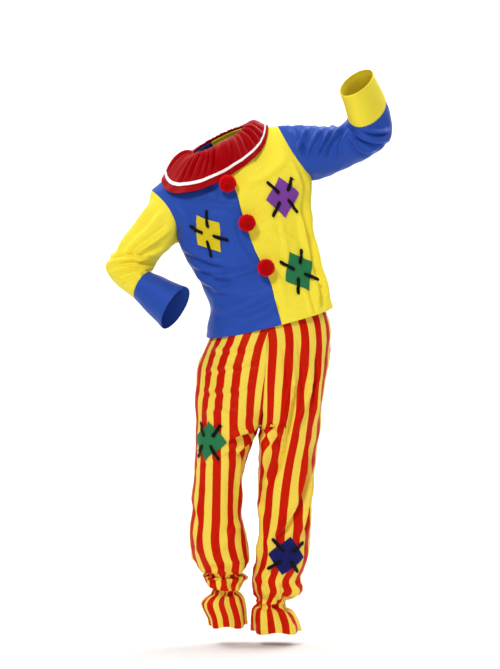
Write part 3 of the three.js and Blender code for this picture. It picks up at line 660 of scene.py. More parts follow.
def sew_panel(node, surface, side, limits, u, v, settings, folds, frontness, middle, calm, seams, seed,
              slot, stripe=None, closed=False, armhole=False):
    """Builds one cloth piece over surface(u, v) and prints the size and area of its cut.

    middle marks the points whose wall stands in the body's middle plane. calm is 0 where no fold may run.
    seams names the sewn sides: start, end, top, bottom. armhole: its start and top are sewn at the armhole.
    """
    normal = outward(surface, u, v, side, limits)
    normal = np.where(middle[..., None], upright(normal), normal)
    base = surface(u, v)
    height = relief(base, frontness, folds, seed, settings.fold_strength) * calm
    point = base + normal * height[..., None]
    if not closed:
        for edge, inside, name in ((0, 1, "start"), (-1, -2, "end")):
            if name in seams:
                step = point[inside] - point[edge]
                point[edge] += step * (SEAM_GAP / length_of(step))
    facing = grid_normals(point, closed, normal)
    facing = np.where(middle[..., None], upright(facing), facing)
    across = arc(ring_of(point, closed), 0)
    down = arc(point, 1)
    over, under = across[:len(point)], down[:, -1:] - down
    # how far each point is from a sewn side, and how far along that side
    sides = {"start": (over, down), "end": (across[-1] - over, down)}
    sides.update(top=(down, over), bottom=(under, over))
    sunk = np.zeros(point.shape[:2])
    for name in seams:
        distance, run = sides[name]
        joined = np.full(v.shape, armhole and name in ("start", "top"))
        if name == "start":
            joined &= v <= ARMPIT_ROW
        pucker = np.sin(2 * PI * run / PUCKER_PITCH + np.sin(run / PUCKER_DRIFT) * 2)
        groove = np.where(joined, ARMHOLE_GROOVE, SEAM_GROOVE)
        sunk += groove * np.exp(-(distance / GROOVE_WIDTH) ** 2)
        sunk += PUCKER_HEIGHT * pucker * np.exp(-(distance / PUCKER_REACH) ** 2) * ~joined
    if "bottom" not in seams:
        sunk -= HEM_HEIGHT * smooth((HEM_TURN - under) / 2.5) * smooth(under / 1.5)
    outer = point - facing * sunk[..., None]
    inner = outer - facing * (settings.wall / MM)
    width = across - across[-1:] / 2 if stripe is None else stripe
    uv = np.stack([width, -ring_of(down, closed)], -1) / CLOTH_UNIT
    piece = shell(node + "_cloth", outer, inner, uv, closed, facing, finishes(settings)[slot])
    stand_for(piece, node, slot)
    size, area = cut_of(point, closed)
    print(f"{node}: {size[0] * 1000:.0f} x {size[1] * 1000:.0f} mm, {area * 1e4:.0f} cm2")
    return piece


# ---------------------------------------------------------------- cloth, felt and pile

def linear(colour):
    """Scene colour of a screen colour with channels from 0 to 255."""
    values = [c / 255 for c in colour]
    return [c / 12.92 if c <= 0.04045 else ((c + 0.055) / 1.055) ** 2.4 for c in values]


def node_group(name, kind, inputs, outputs):
    """A new node tree with its own sockets, and its input and output nodes."""
    tree = bpy.data.node_groups.new(name, kind + "NodeTree")
    for way, sockets in (("INPUT", inputs), ("OUTPUT", outputs)):
        for label, value in sockets.items():
            tree.interface.new_socket(name=label, in_out=way, socket_type="NodeSocket" + value)
    return tree, tree.nodes.new("NodeGroupInput"), tree.nodes.new("NodeGroupOutput")


def add(tree, kind, values=(), sources=(), **options):
    """A new node: its options, then the values of its inputs, then what feeds them."""
    node = tree.nodes.new(kind)
    for name, value in options.items():
        setattr(node, name, value)
    for socket, value in dict(values).items():
        node.inputs[socket].default_value = value
    for socket, source in dict(sources).items():
        tree.links.new(source, node.inputs[socket])
    return node


def thread_group(name, stretch, scale, dark, light):
    """Fine threads: a shade for the colour and a bumped normal, both from the cloth's own coordinates."""
    tree, source, sink = node_group(name, "Shader", {"Cloth": "Vector", "Relief": "Float"},
                                    {"Shade": "Float", "Normal": "Vector"})
    feeds = {0: source.outputs["Cloth"]}
    stretched = add(tree, "ShaderNodeVectorMath", {1: stretch}, feeds, operation="MULTIPLY")
    noise = add(tree, "ShaderNodeTexNoise", {"Scale": scale, "Detail": 3}, {"Vector": stretched.outputs[0]})
    limits = {"From Min": 0.3, "From Max": 0.7, "To Min": dark, "To Max": light}
    shade = add(tree, "ShaderNodeMapRange", limits, {"Value": noise.outputs["Fac"]})
    feeds = {"Strength": source.outputs["Relief"], "Height": noise.outputs["Fac"]}
    bump = add(tree, "ShaderNodeBump", {"Distance": THREAD_HEIGHT}, feeds)
    tree.links.new(shade.outputs["Result"], sink.inputs["Shade"])
    tree.links.new(bump.outputs["Normal"], sink.inputs["Normal"])
    return tree


def stripe_group():
    """1 on the second of each pair of stripes, by cloth width."""
    inputs = {"Cloth": "Vector", "Pitch": "Float"}
    tree, source, sink = node_group("Stripes", "Shader", inputs, {"Mask": "Float"})
    split = add(tree, "ShaderNodeSeparateXYZ", {}, {0: source.outputs["Cloth"]})
    feeds = {0: split.outputs["X"], 1: source.outputs["Pitch"]}
    turns = add(tree, "ShaderNodeMath", {}, feeds, operation="DIVIDE")
    angle = add(tree, "ShaderNodeMath", {1: PI}, {0: turns.outputs[0]}, operation="MULTIPLY")
    wave = add(tree, "ShaderNodeMath", {}, {0: angle.outputs[0]}, operation="SINE")
    limits = {"From Min": STRIPE_EDGE[0], "From Max": STRIPE_EDGE[1]}
    edge = add(tree, "ShaderNodeMapRange", limits, {"Value": wave.outputs[0]})
    tree.links.new(edge.outputs["Result"], sink.inputs["Mask"])
    return tree


def new_material(name, **values):
    """A material with values on its shader, named by input with _ for a space."""
    material = bpy.data.materials.new(name)
    material.use_nodes = True
    shader = material.node_tree.nodes["Principled BSDF"]
    for label, value in values.items():
        shader.inputs[label.replace("_", " ")].default_value = value
    return material, material.node_tree, shader


def cloth_material(name, colour, group, roughness, relief, sheen=0.0, deep=0.72,
                   second=None, stripes=None, pitch=1):
    """colour and second are linear colours; second fills the stripes. deep darkens them between threads."""
    brightest = max(colour)
    tint = [lerp(c / brightest, 1, WHITENESS) for c in colour] + [1]
    material, tree, shader = new_material(
        name + "_cloth", Roughness=roughness, Sheen_Weight=sheen, Sheen_Roughness=0.4,
        Specular_IOR_Level=SHINE, Specular_Tint=tint)
    cloth = add(tree, "ShaderNodeUVMap", uv_map="cloth").outputs["UV"]
    threads = add(tree, "ShaderNodeGroup", {"Relief": relief}, {"Cloth": cloth}, node_tree=group)

    def threaded(full):
        mix = add(tree, "ShaderNodeMix", {"A": [deep * c for c in full] + [1], "B": [*full, 1]},
                  {"Factor": threads.outputs["Shade"]}, data_type="RGBA")
        return mix.outputs["Result"]

    out = threaded(colour)
    if second is not None:
        bands = add(tree, "ShaderNodeGroup", {"Pitch": pitch}, {"Cloth": cloth}, node_tree=stripes)
        feeds = {"Factor": bands.outputs["Mask"], "A": out, "B": threaded(second)}
        out = add(tree, "ShaderNodeMix", {}, feeds, data_type="RGBA").outputs["Result"]
    tree.links.new(out, shader.inputs["Base Color"])
    tree.links.new(threads.outputs["Normal"], shader.inputs["Normal"])
    return material


THREAD_HEIGHT = 0.0004  # metres
STRIPE_EDGE = (0.12, 0.02)  # where yellow turns to red on the stripes' sine wave
SHINE = 0.2
WHITENESS = 0.1  # how white a highlight is on coloured cloth
OTHER_SLOTS = ("blue_satin", "yellow_satin", "red_satin", "striped_satin", "white_ribbon", "red_pile")
FELT_COLOURS = {
    "yellow_felt": (224, 198, 38),
    "purple_felt": (128, 66, 158),
    "green_felt": (46, 122, 76),
    "navy_felt": (30, 32, 94),
    "black_felt": (10, 10, 10),
}


def finishes(settings):
    """All the materials by slot, made once and found again by name."""
    if "blue_satin_cloth" not in bpy.data.materials:
        satin = thread_group("Satin threads", (1.0, 0.14, 1.0), 110.0, 0.55, 1.0)
        felt = thread_group("Felt hairs", (1.0, 1.0, 1.0), 60.0, 0.35, 1.0)
        pitch = settings.stripe_width / MM / CLOTH_UNIT
        cloth_material("blue_satin", settings.blue, satin, 0.44, 0.15)
        cloth_material("yellow_satin", settings.yellow, satin, 0.58, 0.12)
        cloth_material("red_satin", settings.collar_red, satin, 0.5, 0.12)
        cloth_material("striped_satin", settings.stripe_yellow, satin, 0.52, 0.12,
                       second=settings.stripe_red, stripes=stripe_group(), pitch=pitch)
        cloth_material("white_ribbon", linear((250, 246, 246)), satin, 0.5, 0.15, deep=0.9)
        for name, colour in FELT_COLOURS.items():
            cloth_material(name, linear(colour), felt, 0.95, 0.7, 0.12)
        red = linear((232, 6, 12)) + [1]
        new_material("red_pile_cloth", Base_Color=red, Roughness=0.9, Specular_IOR_Level=SHINE)
    return {slot: bpy.data.materials[slot + "_cloth"] for slot in (*OTHER_SLOTS, *FELT_COLOURS)}


# ---------------------------------------------------------------- pieces laid on the panels

def grid(columns, rows):
    return np.meshgrid(columns, rows, indexing="ij")


def find(surface, x, z, start):
    """The u and v of the surface's front where it shows at x and z."""
    u, v = start
    h = 1e-4
    for _ in range(40):
        here, by_u, by_v = surface(np.array([u, u + h, u]), np.array([v, v, v + h]))
        du, dv = (by_u - here) / h, (by_v - here) / h
        area = du[0] * dv[2] - du[2] * dv[0]
        miss_x, miss_z = x - here[0], z - here[2]
        u += 0.7 * (miss_x * dv[2] - miss_z * dv[0]) / area
        v += 0.7 * (du[0] * miss_z - du[2] * miss_x) / area
    return u, v


def walk(surface, side, start, across, up, tilt):
    """Points and normals of the surface at millimetres across and up from start, turned by tilt."""
    u = np.full(across.shape, float(start[0]))
    v = np.full(across.shape, float(start[1]))
    pace = 8
    h = 1e-4
    c, s = math.cos(tilt), math.sin(tilt)
    heading = np.stack([across * c - up * s, 0 * across, across * s + up * c], -1)
    distance = np.linalg.norm(heading, axis=-1, keepdims=True) / pace
    for _ in range(pace):
        here = surface(u, v)
        du = (surface(u + h, v) - here) / h
        dv = (surface(u, v + h) - here) / h
        normal = unit(np.cross(dv, du))
        heading = heading - normal * (heading * normal).sum(-1, keepdims=True)
        heading *= distance / length_of(heading)
        uu, uv, vv = (du * du).sum(-1), (du * dv).sum(-1), (dv * dv).sum(-1)
        hu, hv = (heading * du).sum(-1), (heading * dv).sum(-1)
        area = uu * vv - uv * uv
        u = u + (hu * vv - hv * uv) / area
        v = v + (hv * uu - hu * uv) / area
    return surface(u, v), outward(surface, u, v, side)


HOSTS = {
    "tunic_right": (tunic, 1, BLUE_FOLDS, 11, "tunic_front_right_cloth"),
    "tunic_left": (tunic, 1, YELLOW_FOLDS, 12, "tunic_front_left_cloth"),
    "leg_right": (RIGHT_LEG, 1, RIGHT_LEG_FOLDS, 15, "trousers_front_right_cloth"),
    "leg_left": (LEFT_LEG, -1, LEFT_LEG_FOLDS, 16, "trousers_front_left_cloth"),
}


def stiffened(height, reach):
    """A line that bridges the dips of height and never runs below it, for a strip columns by rows."""
    line = height.max(0)
    for step in (np.max, np.mean):
        padded = np.pad(line, reach, mode="edge")
        line = np.array([step(padded[k:k + 2 * reach + 1]) for k in range(len(line))])
    return np.broadcast_to(line, height.shape)


def lay(node, host, start, tilt, across, up, height, settings, slot, reach=0):
    """A felt piece over a grid of cloth coordinates, held height over its panel's folds.

    A piece with a reach is stiff: it bridges the folds that far along itself.
    """
    surface, side, folds, seed, _ = HOSTS[host]
    base, normal = walk(surface, side, start, across, up, tilt)
    panel = relief(base, 1.0, folds, seed, settings.fold_strength)
    if reach:
        panel = stiffened(panel, reach)
    point = base + normal * panel[..., None]
    normal = grid_normals(point, False, normal)
    outer = point + normal * (height + FELT)[..., None]
    inner = point + normal * height[..., None]
    uv = np.stack([across, up], -1) / CLOTH_UNIT
    piece = shell(node + "_felt", outer, inner, uv, False, normal, finishes(settings)[slot])
    return stand_for(piece, node, slot), cut_of(outer, False)


def skewed(across, up, skew):
    """Cloth coordinates of a patch whose upright sides lean by skew."""
    return across - up * math.sin(skew) + NUDGE, up * math.cos(skew) + NUDGE


def lay_patch(name, settings):
    host, place, tilt, slot, slants, guess = PATCHES[name]
    start = find(HOSTS[host][0], place[0], place[1], guess)
    tilt, skew = (math.radians(angle) for angle in tilt)
    half_width, half_height = PATCH_WIDTH / 2, PATCH_HEIGHT / 2
    across, up = grid(np.linspace(-half_width, half_width, 31), np.linspace(half_height, -half_height, 33))
    across = across + 0.5 * np.sin(up / 9.0) * np.abs(across) / 30
    square, (size, area) = lay(name, host, start, tilt, *skewed(across, up, skew),
                               LAID_ON + 0 * across, settings, slot)
    draw = np.random.default_rng(len(name))
    for k, edge in enumerate(("top", "right", "bottom", "left")):
        turn = -k * PI / 2
        reach = half_height if k % 2 == 0 else half_width
        slant = math.radians(slants[k])
        a, b = grid(np.linspace(-1, 1, 9), np.linspace(-BAR_IN, BAR_OUT, 34))
        near_end = np.minimum(b + BAR_IN, BAR_OUT - b)
        half = BAR_HALF * np.sqrt(np.clip(1 - (1 - np.clip(near_end / BAR_HALF, 0.12, 1)) ** 2, 0.04, 1))
        half = half * (1 + 0.1 * np.sin(b / 4.0 + draw.uniform(0, 6)))
        sway = 0.35 * np.sin(b / draw.uniform(7, 10) + draw.uniform(0, 6))
        a = a * half + sway
        along_bar = b * math.cos(slant) + a * math.sin(slant)
        across_bar = a * math.cos(slant) - b * math.sin(slant)
        out = reach + along_bar
        x = across_bar * math.cos(turn) - out * math.sin(turn)
        z = across_bar * math.sin(turn) + out * math.cos(turn)
        over = 2 * LAID_ON + FELT
        height = lerp(over, LAID_ON, smooth((b - 1.5) / 6))
        bar, _ = lay(f"{name}_bar_{edge}", host, start, tilt, *skewed(x, z, skew), height, settings,
                     "black_felt", BAR_STIFFNESS)
    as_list(HOSTS[host][4])


# ---------------------------------------------------------------- pompoms

POMPOM_CORE = 15.0
FIBRE_ROOT = 0.0006  # metres
FIBRE_TIP = 0.0003
FIBRE_TILT = 0.55
FIBRE_INPUTS = ("Fibres per square metre", "Fibre length", "Fibre radius", "Seed")


def fibre_tree(material):
    """Geometry nodes: fibres scattered over the incoming ball, joined to it."""
    inputs = {"Ball": "Geometry", **dict.fromkeys(FIBRE_INPUTS, "Float"), FIBRE_INPUTS[-1]: "Int"}
    tree, source, sink = node_group("Pompom fibres", "Geometry", inputs, {"Pompom": "Geometry"})
    ball = source.outputs["Ball"]
    density, length, radius, seed = (source.outputs[label] for label in FIBRE_INPUTS)
    feeds = {"Mesh": ball, "Density": density, "Seed": seed}
    scatter = add(tree, "GeometryNodeDistributePointsOnFaces", {}, feeds)
    fibre = add(tree, "GeometryNodeMeshCone", {"Vertices": 4, "Radius Top": FIBRE_TIP},
                {"Depth": length, "Radius Bottom": radius})
    limits = {"Min": (-FIBRE_TILT, -FIBRE_TILT, 0), "Max": (FIBRE_TILT, FIBRE_TILT, 6.2)}
    tilt = add(tree, "FunctionNodeRandomValue", limits, data_type="FLOAT_VECTOR")
    euler = add(tree, "FunctionNodeEulerToRotation", {}, {0: tilt.outputs["Value"]})
    feeds = {0: scatter.outputs["Rotation"], 1: euler.outputs[0]}
    turn = add(tree, "FunctionNodeRotateRotation", {}, feeds, rotation_space="LOCAL")
    size = add(tree, "FunctionNodeRandomValue", {2: 0.65, 3: 1.1})
    place = add(tree, "GeometryNodeInstanceOnPoints", {}, {
        "Points": scatter.outputs["Points"], "Instance": fibre.outputs["Mesh"],
        "Rotation": turn.outputs[0], "Scale": size.outputs[1]})
    join = add(tree, "GeometryNodeJoinGeometry", {}, {"Geometry": place.outputs["Instances"]})
    tree.links.new(ball, join.inputs["Geometry"])
    real = add(tree, "GeometryNodeRealizeInstances", {}, {"Geometry": join.outputs["Geometry"]})
    feeds = {"Geometry": real.outputs["Geometry"]}
    paint = add(tree, "GeometryNodeSetMaterial", {"Material": material}, feeds)
    tree.links.new(paint.outputs["Geometry"], sink.inputs["Pompom"])
    return tree


def fluffed(ball, tree, values):
    """Bakes the fibres into a mesh of their own and takes the modifier away."""
    modifier = ball.modifiers.new("Fibres", "NODES")
    sockets = {item.name: item.identifier for item in tree.interface.items_tree if item.in_out == "INPUT"}
    modifier.node_group = tree
    for label, value in zip(FIBRE_INPUTS, values):
        modifier[sockets[label]] = value
    ball.update_tag()
    graph = bpy.context.evaluated_depsgraph_get()
    grown = ball.evaluated_get(graph)
    baked = bpy.data.meshes.new_from_object(grown, preserve_all_data_layers=True, depsgraph=graph)
    ball.modifiers.remove(modifier)
    old = ball.data
    ball.data = baked
    bpy.data.meshes.remove(old)


# ---------------------------------------------------------------- settings and operators

def colour_setting(name, description, screen):
    return bpy.props.FloatVectorProperty(
        name=name, description=description, default=linear(screen), size=3, subtype="COLOR", min=0, max=1)


class CostumeSettings(bpy.types.PropertyGroup):
    wall: bpy.props.FloatProperty(
        name="Cloth thickness", description="Thickness of the satin", default=0.0012, unit="LENGTH")
    fold_strength: bpy.props.FloatProperty(
        name="Fold strength", description="Scale of every fold's height", default=1.5, subtype="FACTOR")
    stripe_width: bpy.props.FloatProperty(
        name="Stripe width", description="Width of one trouser stripe", default=0.019, unit="LENGTH")
    fibre_density: bpy.props.FloatProperty(
        name="Fibre density", description="Pompom fibres on a square metre of ball", default=900000.0)
    fibre_length: bpy.props.FloatProperty(
        name="Fibre length", description="Length of a pompom fibre", default=0.0055, unit="LENGTH")
    blue: colour_setting("Blue", "Blue satin of the tunic", (46, 80, 172))
    yellow: colour_setting("Yellow", "Yellow satin of the tunic", (252, 231, 66))
    collar_red: colour_setting("Collar red", "Red satin of the ruff collar", (162, 2, 8))
    stripe_red: colour_setting("Stripe red", "Red of the trouser stripes", (204, 8, 4))
    stripe_yellow: colour_setting("Stripe yellow", "Yellow between the trouser stripes", (250, 217, 82))


def cover(*names):
    missing = [name for name in names if name not in bpy.data.objects]
    if missing:
        raise RuntimeError("pieces were not made: " + ", ".join(missing))
    return {"FINISHED"}


HALF_COLUMNS = 84
TUNIC_ROW_COUNT = 150
ROW_CROWDING = 1.25  # rows lie closer together at the shoulders
SIDE_BLEND = 0.1  # share of the tunic's width over which the two sides' folds blend
ARMHOLE_CALM = 0.12  # the same, over which folds rise beside an armhole
CALM_BELOW_ARMPIT = 1.2  # rows
CALM_ROWS = 0.5  # rows over which folds rise below a top edge
SLEEVE_CALM = (0.45, 0.35)  # rings over which they rise at a sleeve's two ends
CUFF_CALM = 0.3
CUFF_SWELLING = 0.4


def tunic_half(node, left, back, folds, seed, settings, slot):
    rows = np.linspace(0, 1, TUNIC_ROW_COUNT) ** ROW_CROWDING * HEM_ROW
    seam = centre_seam(rows)
    if back:
        seam = 1 - seam
    share = np.linspace(0, 1, HALF_COLUMNS)
    tip = 1.0 if left else 0.0
    across = tip + (seam[None, :] - tip) * share[:, None]
    v = np.broadcast_to(rows, across.shape)
    if back:
        u = np.maximum(2 - across, 1 + TINY)
        limits = (1 + TINY, 2, 0, HEM_ROW)
    else:
        u = across
        limits = (0, 1, 0, HEM_ROW)
    from_tip = np.abs(across - tip)
    seamed = (from_tip < TINY) | ((v < TINY) & ((across < NECK_FROM) | (across > NECK_TO)))
    beside = 1 - smooth(from_tip / SIDE_BLEND)
    calm = lerp(smooth(from_tip / ARMHOLE_CALM), 1, smooth((v - ARMPIT_ROW) / CALM_BELOW_ARMPIT))
    calm = calm * smooth(v / CALM_ROWS)
    frontness = 0.5 * beside if back else 1 - 0.5 * beside
    return sew_panel(node, tunic, 1, limits, u, v, settings, folds, frontness, seamed, calm,
                     ("start", "end", "top"), seed, slot, armhole=True)


class COSTUME_OT_tunic(bpy.types.Operator):
    """Sews the four panels of the tunic"""
    bl_idname = "costume.tunic"
    bl_label = "Tunic"

    def execute(self, context):
        s = context.scene.costume
        tunic_half("tunic_front_right", False, False, BLUE_FOLDS, 11, s, "blue_satin")
        tunic_half("tunic_front_left", True, False, YELLOW_FOLDS, 12, s, "yellow_satin")
        tunic_half("tunic_back_right", False, True, BLUE_FOLDS, 11, s, "blue_satin")
        tunic_half("tunic_back_left", True, True, YELLOW_FOLDS, 12, s, "yellow_satin")
        return cover("tunic_front_right_cloth", "tunic_back_left_cloth")


TUBE_COLUMNS = 104
SLEEVE_ROWS = 100
CUFF_ROWS = 30


def tube(node, surface, side, v_from, v_to, rows, folds, seed, settings, slot, seams):
    u, v = grid(np.linspace(0, 1, TUBE_COLUMNS + 1)[:-1], np.linspace(v_from, v_to, rows))
    frontness = smooth(np.sin(2 * PI * u) * 1.5 + 0.5)
    middle = np.zeros(u.shape, bool)
    if v_from > 0:
        calm = CUFF_SWELLING * smooth((v - v_from) / CUFF_CALM)
    else:
        start, end = SLEEVE_CALM
        calm = smooth(v / start) * (1 - smooth((v - v_to + end) / end))
    limits = (*ALL_ROUND, v_from, v_to)
    return sew_panel(node, surface, side, limits, u, v, settings, folds, frontness, middle, calm,
                     seams, seed, slot, closed=True, armhole=v_from == 0)


class COSTUME_OT_sleeves(bpy.types.Operator):
    """Sews the sleeves and their cuffs"""
    bl_idname = "costume.sleeves"
    bl_label = "Sleeves and cuffs"

    def execute(self, context):
        s = context.scene.costume
        right, left = (RIGHT_SLEEVE, 1), (LEFT_SLEEVE, -1)
        whole, both = (0, CUFF_SEAM_RING, SLEEVE_ROWS), ("top", "bottom")
        cuff = (CUFF_SEAM_RING, CUFF_END_RING, CUFF_ROWS, [])
        tube("sleeve_right", *right, *whole, RIGHT_SLEEVE_FOLDS, 13, s, "yellow_satin", both)
        tube("sleeve_left", *left, *whole, LEFT_SLEEVE_FOLDS, 14, s, "blue_satin", both)
        tube("cuff_right", *right, *cuff, 13, s, "blue_satin", ("top",))
        tube("cuff_left", *left, *cuff, 14, s, "yellow_satin", ("top",))
        return cover("sleeve_right_cloth", "sleeve_left_cloth", "cuff_right_cloth", "cuff_left_cloth")


HEM_WAVE = 0.3  # rows by which the trouser hem rises and falls
LEG_COLUMNS = 64
LEG_ROWS = 270
STRIPE_PHASE = {"right": 0.0, "left": 12.4}       # millimetres of yellow missing at the centre seam
STRIPE_ROW = 2.1  # row where the centre seam cuts the stripes as stated above
STRIPE_EASE = 0.9  # rows over which the stripes pass the fork in one sweep
EASE_REACH = 40  # rows of the grid on each side that the sweep looks at
GATHERED_FROM = 6  # rows above the hem where the cloth is gathered, not cut narrower


def stripe_place(surface, u, v, hem, phase):
    """Millimetres of cloth width for the stripes, counted back from the outer seam."""
    point = surface(u, v)
    across = arc(point, 0)
    rows = v[0]
    total = across[-1]
    full = np.interp(np.minimum(rows, hem - GATHERED_FROM), rows, total)
    at_seam = np.interp(STRIPE_ROW, rows, total)
    place = across * (full / total)
    breadth = np.abs(point[..., 0] - point[:1, :, 0])
    share = np.maximum.accumulate(breadth / breadth[-1], 0)
    even = np.linspace(0, 1, 120)
    table = np.stack([np.interp(even, share[:, j], place[:, j]) for j in range(len(rows))], 1)
    reach = np.arange(-EASE_REACH, EASE_REACH + 1) * (rows[1] - rows[0])
    weights = np.exp(-(reach / STRIPE_EASE) ** 2)
    padded = np.pad(table, ((0, 0), (EASE_REACH, EASE_REACH)), mode="edge")
    eased = np.stack([np.convolve(row, weights / weights.sum(), mode="valid") for row in padded])
    keep = smooth((rows - FORK_BEGINS + 2) / 1.5) * (1 - smooth((rows - FORK_ROW - 2) / 2))
    table = lerp(table, eased, keep)
    place = np.stack([np.interp(share[:, j], even, table[:, j]) for j in range(len(rows))], 1)
    return at_seam - place + phase


def trouser_panel(name, back, surface, side, outseam, folds, seed, settings):
    hem = len(outseam) - 1
    u, v = grid(np.linspace(0, 1, LEG_COLUMNS), np.linspace(0, hem, LEG_ROWS))
    v = v - HEM_WAVE * (0.5 + 0.5 * np.sin(2 * PI * 2.3 * u + 0.8)) * smooth((v - hem + 1.6) / 1.6)
    beside = 1 - smooth(np.minimum(u, np.where(v > FORK_ROW, 1 - u, 1)) / 0.14)
    frontness = 0.5 * beside if back else 1 - 0.5 * beside
    seamed = (u < TINY) | ((u > 1 - TINY) & (v > FORK_ROW - TINY))
    calm = smooth(v / CALM_ROWS)
    limits = (0, 1, 0, hem)
    if back:
        u = np.minimum(-u, -TINY)
        limits = (-1, -TINY, 0, hem)
    stripe = stripe_place(surface, u, v, hem, STRIPE_PHASE[name])
    node = f"trousers_{'back' if back else 'front'}_{name}"
    return sew_panel(node, surface, side, limits, u, v, settings, folds, frontness, seamed, calm,
                     ("start", "end"), seed, "striped_satin", stripe=stripe)


class COSTUME_OT_trousers(bpy.types.Operator):
    """Sews the four panels of the trousers"""
    bl_idname = "costume.trousers"
    bl_label = "Trousers"

    def execute(self, context):
        s = context.scene.costume
        for back in (False, True):
            trouser_panel("right", back, RIGHT_LEG, 1, RIGHT_OUTSEAM, RIGHT_LEG_FOLDS, 15, s)
            trouser_panel("left", back, LEFT_LEG, -1, LEFT_OUTSEAM, LEFT_LEG_FOLDS, 16, s)
        return cover("trousers_front_right_cloth", "trousers_back_left_cloth")


COLLAR_COLUMNS = 420
COLLAR_ROWS = 44
GATHERS = 27
GATHER_HEIGHT = 9.5
COLLAR_LIFT = 5.0  # millimetres that the collar keeps off the tunic, and its neck edge
NECK_LIFT = 2.0
RIBBON_MARGIN = 0.01
RIBBON_ROWS = 7
RIBBON_OUTSIDE = 1.5  # millimetres over the collar
RIBBON_INSIDE = 0.7


def nearest_lift(point, clearance):
    """Pushes points out until they clear the tunic's outside."""
    samples, normals = [], []
    for low, high in ((0, 1), (1 + TINY, 2)):
        u, v = grid(np.linspace(low, high, 80), np.linspace(0.02, 5, 80))
        samples.append(tunic(u, v).reshape(-1, 3))
        normals.append(outward(tunic, u, v, 1, (low, high, 0, HEM_ROW)).reshape(-1, 3))
    samples, normals = np.concatenate(samples), np.concatenate(normals)
    tree = KDTree(len(samples))
    for k, place in enumerate(samples):
        tree.insert(place, k)
    tree.balance()
    flat = point.reshape(-1, 3).copy()
    reach = np.broadcast_to(clearance, point.shape[:-1]).reshape(-1)
    for k, place in enumerate(flat):
        _, index, _ = tree.find(place)
        height = (place - samples[index]) @ normals[index]
        if height < reach[k]:
            flat[k] = place + normals[index] * (reach[k] - height)
    return flat.reshape(point.shape)


def collar_form():
    u, v = grid(np.linspace(0, 1, COLLAR_COLUMNS + 1)[:-1], np.linspace(0, 1, COLLAR_ROWS))

    def wave(times, shift=0.0):
        return np.sin(2 * PI * times * u + shift)

    clearance = np.where(v < TINY, NECK_LIFT, COLLAR_LIFT)
    point = nearest_lift(collar_line(u, v), clearance)
    up = outward(collar_line, u, v, 1, (*ALL_ROUND, 0, 1))
    phase = PI * GATHERS * u + 0.9 * wave(5, 0.6) + 0.6 * wave(9)
    bend = phase + 0.5 * v * wave(4, 1.3)
    depth = (0.8 + 0.3 * wave(7, 2)) * np.sin(PI * np.clip(v / 0.84, 0, 1)) ** 0.7
    gather = GATHER_HEIGHT * depth * (np.abs(np.sin(bend)) ** 0.62 - 0.4)
    fine = 0.7 * np.cos(4 * bend + 1.0) * smooth(1 - v / 0.6) * smooth(v / 0.08)
    edge = 1.4 * np.sin(2 * PI * 14 * u + 1.2 * wave(3)) * smooth((v - 0.75) / 0.25)
    scallop = 1.6 * np.abs(np.sin(PI * 44 * u)) * smooth(1 - v / 0.1)
    turn = np.minimum(u, 1 - u)
    stands = 8 * np.exp(-(turn / 0.05) ** 2) + 6 * np.exp(-((u - 0.47) / 0.05) ** 2)
    point = point + up * (gather + fine + edge + stands * np.sin(PI * v ** 0.8))[..., None]
    point[..., 2] += scallop
    return point, up, u


class COSTUME_OT_collar(bpy.types.Operator):
    """Gathers the ruff collar and sews its ribbon on"""
    bl_idname = "costume.collar"
    bl_label = "Ruff collar"

    def execute(self, context):
        s = context.scene.costume
        materials = finishes(s)
        point, up, u = collar_form()
        facing = grid_normals(point, True, up)
        inner = point - facing * (s.wall / MM)
        ring = ring_of(point)
        uv = np.stack([arc(ring, 0), -arc(ring, 1)], -1) / CLOTH_UNIT
        collar = shell("collar_cloth", point, inner, uv, True, facing, materials["red_satin"])
        stand_for(collar, "collar", "red_satin")
        rows = np.linspace(RIBBON_FROM + RIBBON_MARGIN, RIBBON_TO - RIBBON_MARGIN, RIBBON_ROWS)
        index = rows * (COLLAR_ROWS - 1)
        low = np.floor(index).astype(int)
        share = (index - low)[None, :, None]
        base = lerp(point[:, low], point[:, low + 1], share)
        lift = unit(lerp(facing[:, low], facing[:, low + 1], share))
        wander = (0.6 * np.sin(2 * PI * 9 * u[:, :1]) + 0.4 * np.sin(2 * PI * 23 * u[:, :1]))[..., None]
        base[..., 2:] += wander * 0.5
        outer = base + lift * RIBBON_OUTSIDE
        inner = base + lift * RIBBON_INSIDE
        ring = ring_of(outer)
        uv = np.stack([arc(ring, 0), -arc(ring, 1)], -1) / CLOTH_UNIT
        ribbon = shell("collar_ribbon_cloth", outer, inner, uv, True, lift, materials["white_ribbon"])
        stand_for(ribbon, "collar_ribbon", "white_ribbon")
        size, area = cut_of(point, True)
        return cover("collar_cloth", "collar_ribbon_cloth")


